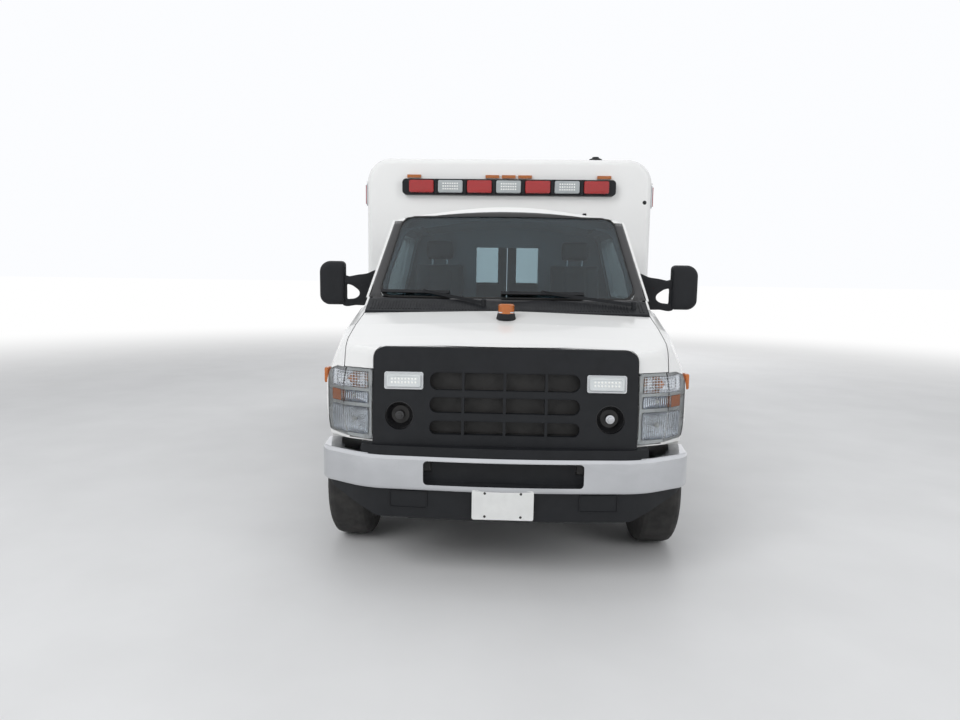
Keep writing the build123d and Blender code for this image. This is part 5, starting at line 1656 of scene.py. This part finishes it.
def make_paddle(name, place, body):
    """Recessed paddle latch: chrome rim, dark cup and a sprung paddle with its lock."""
    loop = rectangle(0.118, 0.146, 0.016, 6)
    ring = [place @ Vector((p.x, p.y, 0.0)) for p in loop]
    normal = place.to_3x3() @ Vector((0, 0, 1))
    bead(f"{name}_rim", ring, normal, (0.016, 0.006), "chrome", body)
    cup = bmesh.new()
    loop = rectangle(0.104, 0.132, 0.012, 6)
    add_prism(cup, [place @ Vector((p.x, p.y, 0.0002)) for p in loop], normal * 0.0016)
    piece(f"{name}_cup", cup, "gloss_black", body, "black_plastic")
    paddle = bmesh.new()
    loop = rectangle(0.086, 0.092, 0.012, 6)
    add_prism(paddle, [place @ Vector((p.x, p.y - 0.010, 0.003)) for p in loop], normal * 0.009)
    piece(f"{name}_paddle", paddle, "chrome", body, bevel=0.003, segments=3)
    turned(f"{name}_lock", [(0.011, 0.001), (0.011, 0.006), (0.008, 0.0075), (0.0, 0.0075)],
           place @ Matrix.Translation((0, 0.052, 0)), 24, "chrome", body)


def window_trim(name, ring, normal, body):
    """Rubber round a window of the module."""
    bead(name, ring, normal, (0.030, 0.007), "rubber", body)


def make_door_hardware():
    """Latches, edges and kick plates of the doors in the module's sides, and a window's rubber."""
    for name, (body, side, d0, d1, z0, z1) in (("side_door", SIDE_DOOR), ("locker_left", LEFT_LOCKER),
                                               ("locker_right", RIGHT_LOCKER)):
        make_paddle(f"{name}_latch", upright(flank(side, d1 - 0.090, 1.180), side * pi / 2), body)
        loop = rounded([(d0 + 0.004, z0 + 0.004), (d1 - 0.004, z0 + 0.004), (d1 - 0.004, z1 - 0.004),
                        (d0 + 0.004, z1 - 0.004)], 0.006, 3)
        ring = [flank(side, p.x, p.y, -0.0004) for p in loop]
        bead(f"{name}_edge", ring, (side, 0, 0), (0.006, 0.0014), "rubber", body)
        box_piece(f"{name}_kick_plate",
                  [(flank(side, d0 + 0.030, z0 + 0.025, 0.0002),
                    flank(side, d1 - 0.030, z0 + 0.225, 0.0018))],
                  "tread_plate", body, bevel=0.0006)

    window = rounded([(2.740, 1.480), (3.260, 1.480), (3.260, 2.020), (2.740, 2.020)], 0.03, 6)
    window_trim("side_door_window_rubber", [flank(-1, p.x, p.y) for p in window], (-1, 0, 0),
                "side_door_body")


def make_wall_hardware():
    """Rear door hardware, stone guards, rub rails, drip rails and seams, and the grab handle."""
    for name, side in SIDES:
        loop = rounded([(0.110, 1.480), (0.545, 1.480), (0.545, 2.080), (0.110, 2.080)], 0.03, 6)
        window_trim(f"rear_window_rubber_{name}", [(side * p.x, MODULE_REAR_Y, p.y) for p in loop],
                    (0, 1, 0),
                    f"rear_door_{name}_body")
        make_paddle(f"rear_latch_{name}", upright((side * 0.085, MODULE_REAR_Y, 1.200), pi),
                    f"rear_door_{name}_body")
        box_piece(f"rear_kick_plate_{name}",
                  [((side * 0.030, MODULE_REAR_Y + 0.0002, 0.870),
                    (side * 0.630, MODULE_REAR_Y + 0.0018, 1.090))],
                  "tread_plate", f"rear_door_{name}_body", bevel=0.0006)
        box_piece(f"stone_guard_{name}",
                  [((side * 0.970, MODULE_FRONT_Y - 0.0018, 0.470),
                    (side * 1.120, MODULE_FRONT_Y - 0.0002, 1.050))],
                  "tread_plate", bevel=0.0006)
        rail = bmesh.new()
        spans = ((3.20, 3.78), (4.84, 6.08)) if side > 0 else ((3.43, 3.78), (4.84, 5.10), (5.90, 6.08))
        for d0, d1 in spans:
            add_box(rail, flank(side, d0, 0.462, 0.0), flank(side, d1, 0.500, 0.016))
        piece(f"rub_rail_{name}", rail, "wheel_steel", bevel=0.004, segments=3)
        box_piece(f"module_drip_rail_{name}",
                  [(flank(side, 2.36, 2.318, 0.0), flank(side, 6.05, 2.330, 0.014))], "white_paint",
                  bevel=0.003, segments=3)
        seam = bmesh.new()
        for d in (2.358, 6.050):
            add_box(seam, flank(side, d - 0.0015, 0.455, -0.001), flank(side, d + 0.0015, 2.312, 0.0008))
        piece(f"module_seams_{name}", seam, "clear_edge", slot="clear_lens", smooth=False)
    tube("side_grab_handle", [flank(-1, 3.44, 1.00, -0.002), flank(-1, 3.44, 1.00, 0.055),
                              flank(-1, 3.44, 1.62, 0.055), flank(-1, 3.44, 1.62, -0.002)], 0.015, "chrome")


def make_roof_hardware():
    """Clip and panels on the cab's roof, the antenna's puck and the stud on the front wall."""
    roof_z = top_of("cab_shell", 0.509, y_at(1.390))
    box_piece("cab_roof_clip",
              [((0.497, y_at(1.365), roof_z - 0.012), (0.521, y_at(1.400), roof_z + 0.014))],
              "black_plastic", bevel=0.004)
    puck_z = top_of("module_roof", ANTENNA[0], y_at(ANTENNA[1]))
    turned("antenna_puck", [(0.056, -0.012), (0.056, 0.008), (0.050, 0.018), (0.030, 0.025), (0.0, 0.027)],
           facing(*ANTENNA, puck_z, (0, 0, 1)), 48, "black_plastic")
    for name, side in SIDES:
        panel = bmesh.new()
        inner_z = top_of("cab_shell", side * 0.605, y_at(1.50))
        outer_z = top_of("cab_shell", side * 0.690, y_at(1.50))
        rows = []
        for d in (1.388, 1.665):
            rows.append([Vector((side * x, y_at(d), lerp(inner_z, outer_z, (x - 0.605) / 0.085) + lift))
                         for x, lift in ((0.598, -0.001), (0.603, 0.0015), (0.645, 0.0020), (0.690, 0.0015),
                                         (0.695, -0.001))])
        corners = [[panel.verts.new(point) for point in row] for row in rows]
        for index in range(len(corners[0]) - 1):
            panel.faces.new([corners[0][index], corners[0][index + 1], corners[1][index + 1],
                             corners[1][index]])
        for row in corners:
            panel.faces.new(row)
        piece(f"cab_roof_panel_{name}", panel, "white_paint")
    turned("front_wall_stud", [(0.016, -0.001), (0.016, 0.004), (0.010, 0.007), (0.0, 0.008)],
           facing(1.085, 2.300, 2.170, (0, -1, 0)), 28, "black_plastic")


def make_step_lugs():
    """Raised lugs on the rear step and the running boards."""
    step = bmesh.new()
    for index in range(15):
        x = -0.92 + index * 0.13
        for d in (6.150, 6.205, 6.260):
            place = Matrix.Translation((x, y_at(d), 0.5)) @ Matrix.Rotation(0.7, 4, "Z")
            loop = rectangle(0.050, 0.010, 0.004, 3)
            add_prism(step, [place @ Vector((p.x, p.y, -0.0002)) for p in loop], (0, 0, 0.003))
    piece("rear_step_lugs", step, "tread_plate", bevel=0.0008)
    for name, side in SIDES:
        lugs = bmesh.new()
        for index in range(14):
            for x in (0.90, 0.955, 1.01):
                place = Matrix.Translation((side * x, y_at(1.36 + index * 0.065), 0.430)) \
                    @ Matrix.Rotation(0.7 if index % 2 else -0.7, 4, "Z")
                loop = rectangle(0.034, 0.008, 0.003, 3)
                add_prism(lugs, [place @ Vector((p.x, p.y, -0.0002)) for p in loop], (0, 0, 0.0028))
        piece(f"running_board_lugs_{name}", lugs, "tread_plate", bevel=0.0006)


def main():
    """Builds the looks, the stage and every detail."""
    dress_nodes()
    make_camera()
    make_world()
    make_lights()
    make_floor()
    make_headlamps()
    make_grille_details()
    make_seats()
    make_bench()
    make_bumper_skin()
    make_bumper_details()
    make_beacon_details()
    make_screen_details()
    make_screen_surround()
    make_cowl_details()
    make_mirror_heads()
    make_mirror_details()
    make_light_bar_details()
    make_module_lamp_details()
    make_wheel_details()
    make_cab_details()
    make_door_hardware()
    make_wall_hardware()
    make_roof_hardware()
    make_step_lugs()
    bpy.context.scene.view_settings.view_transform = "Standard"


main()
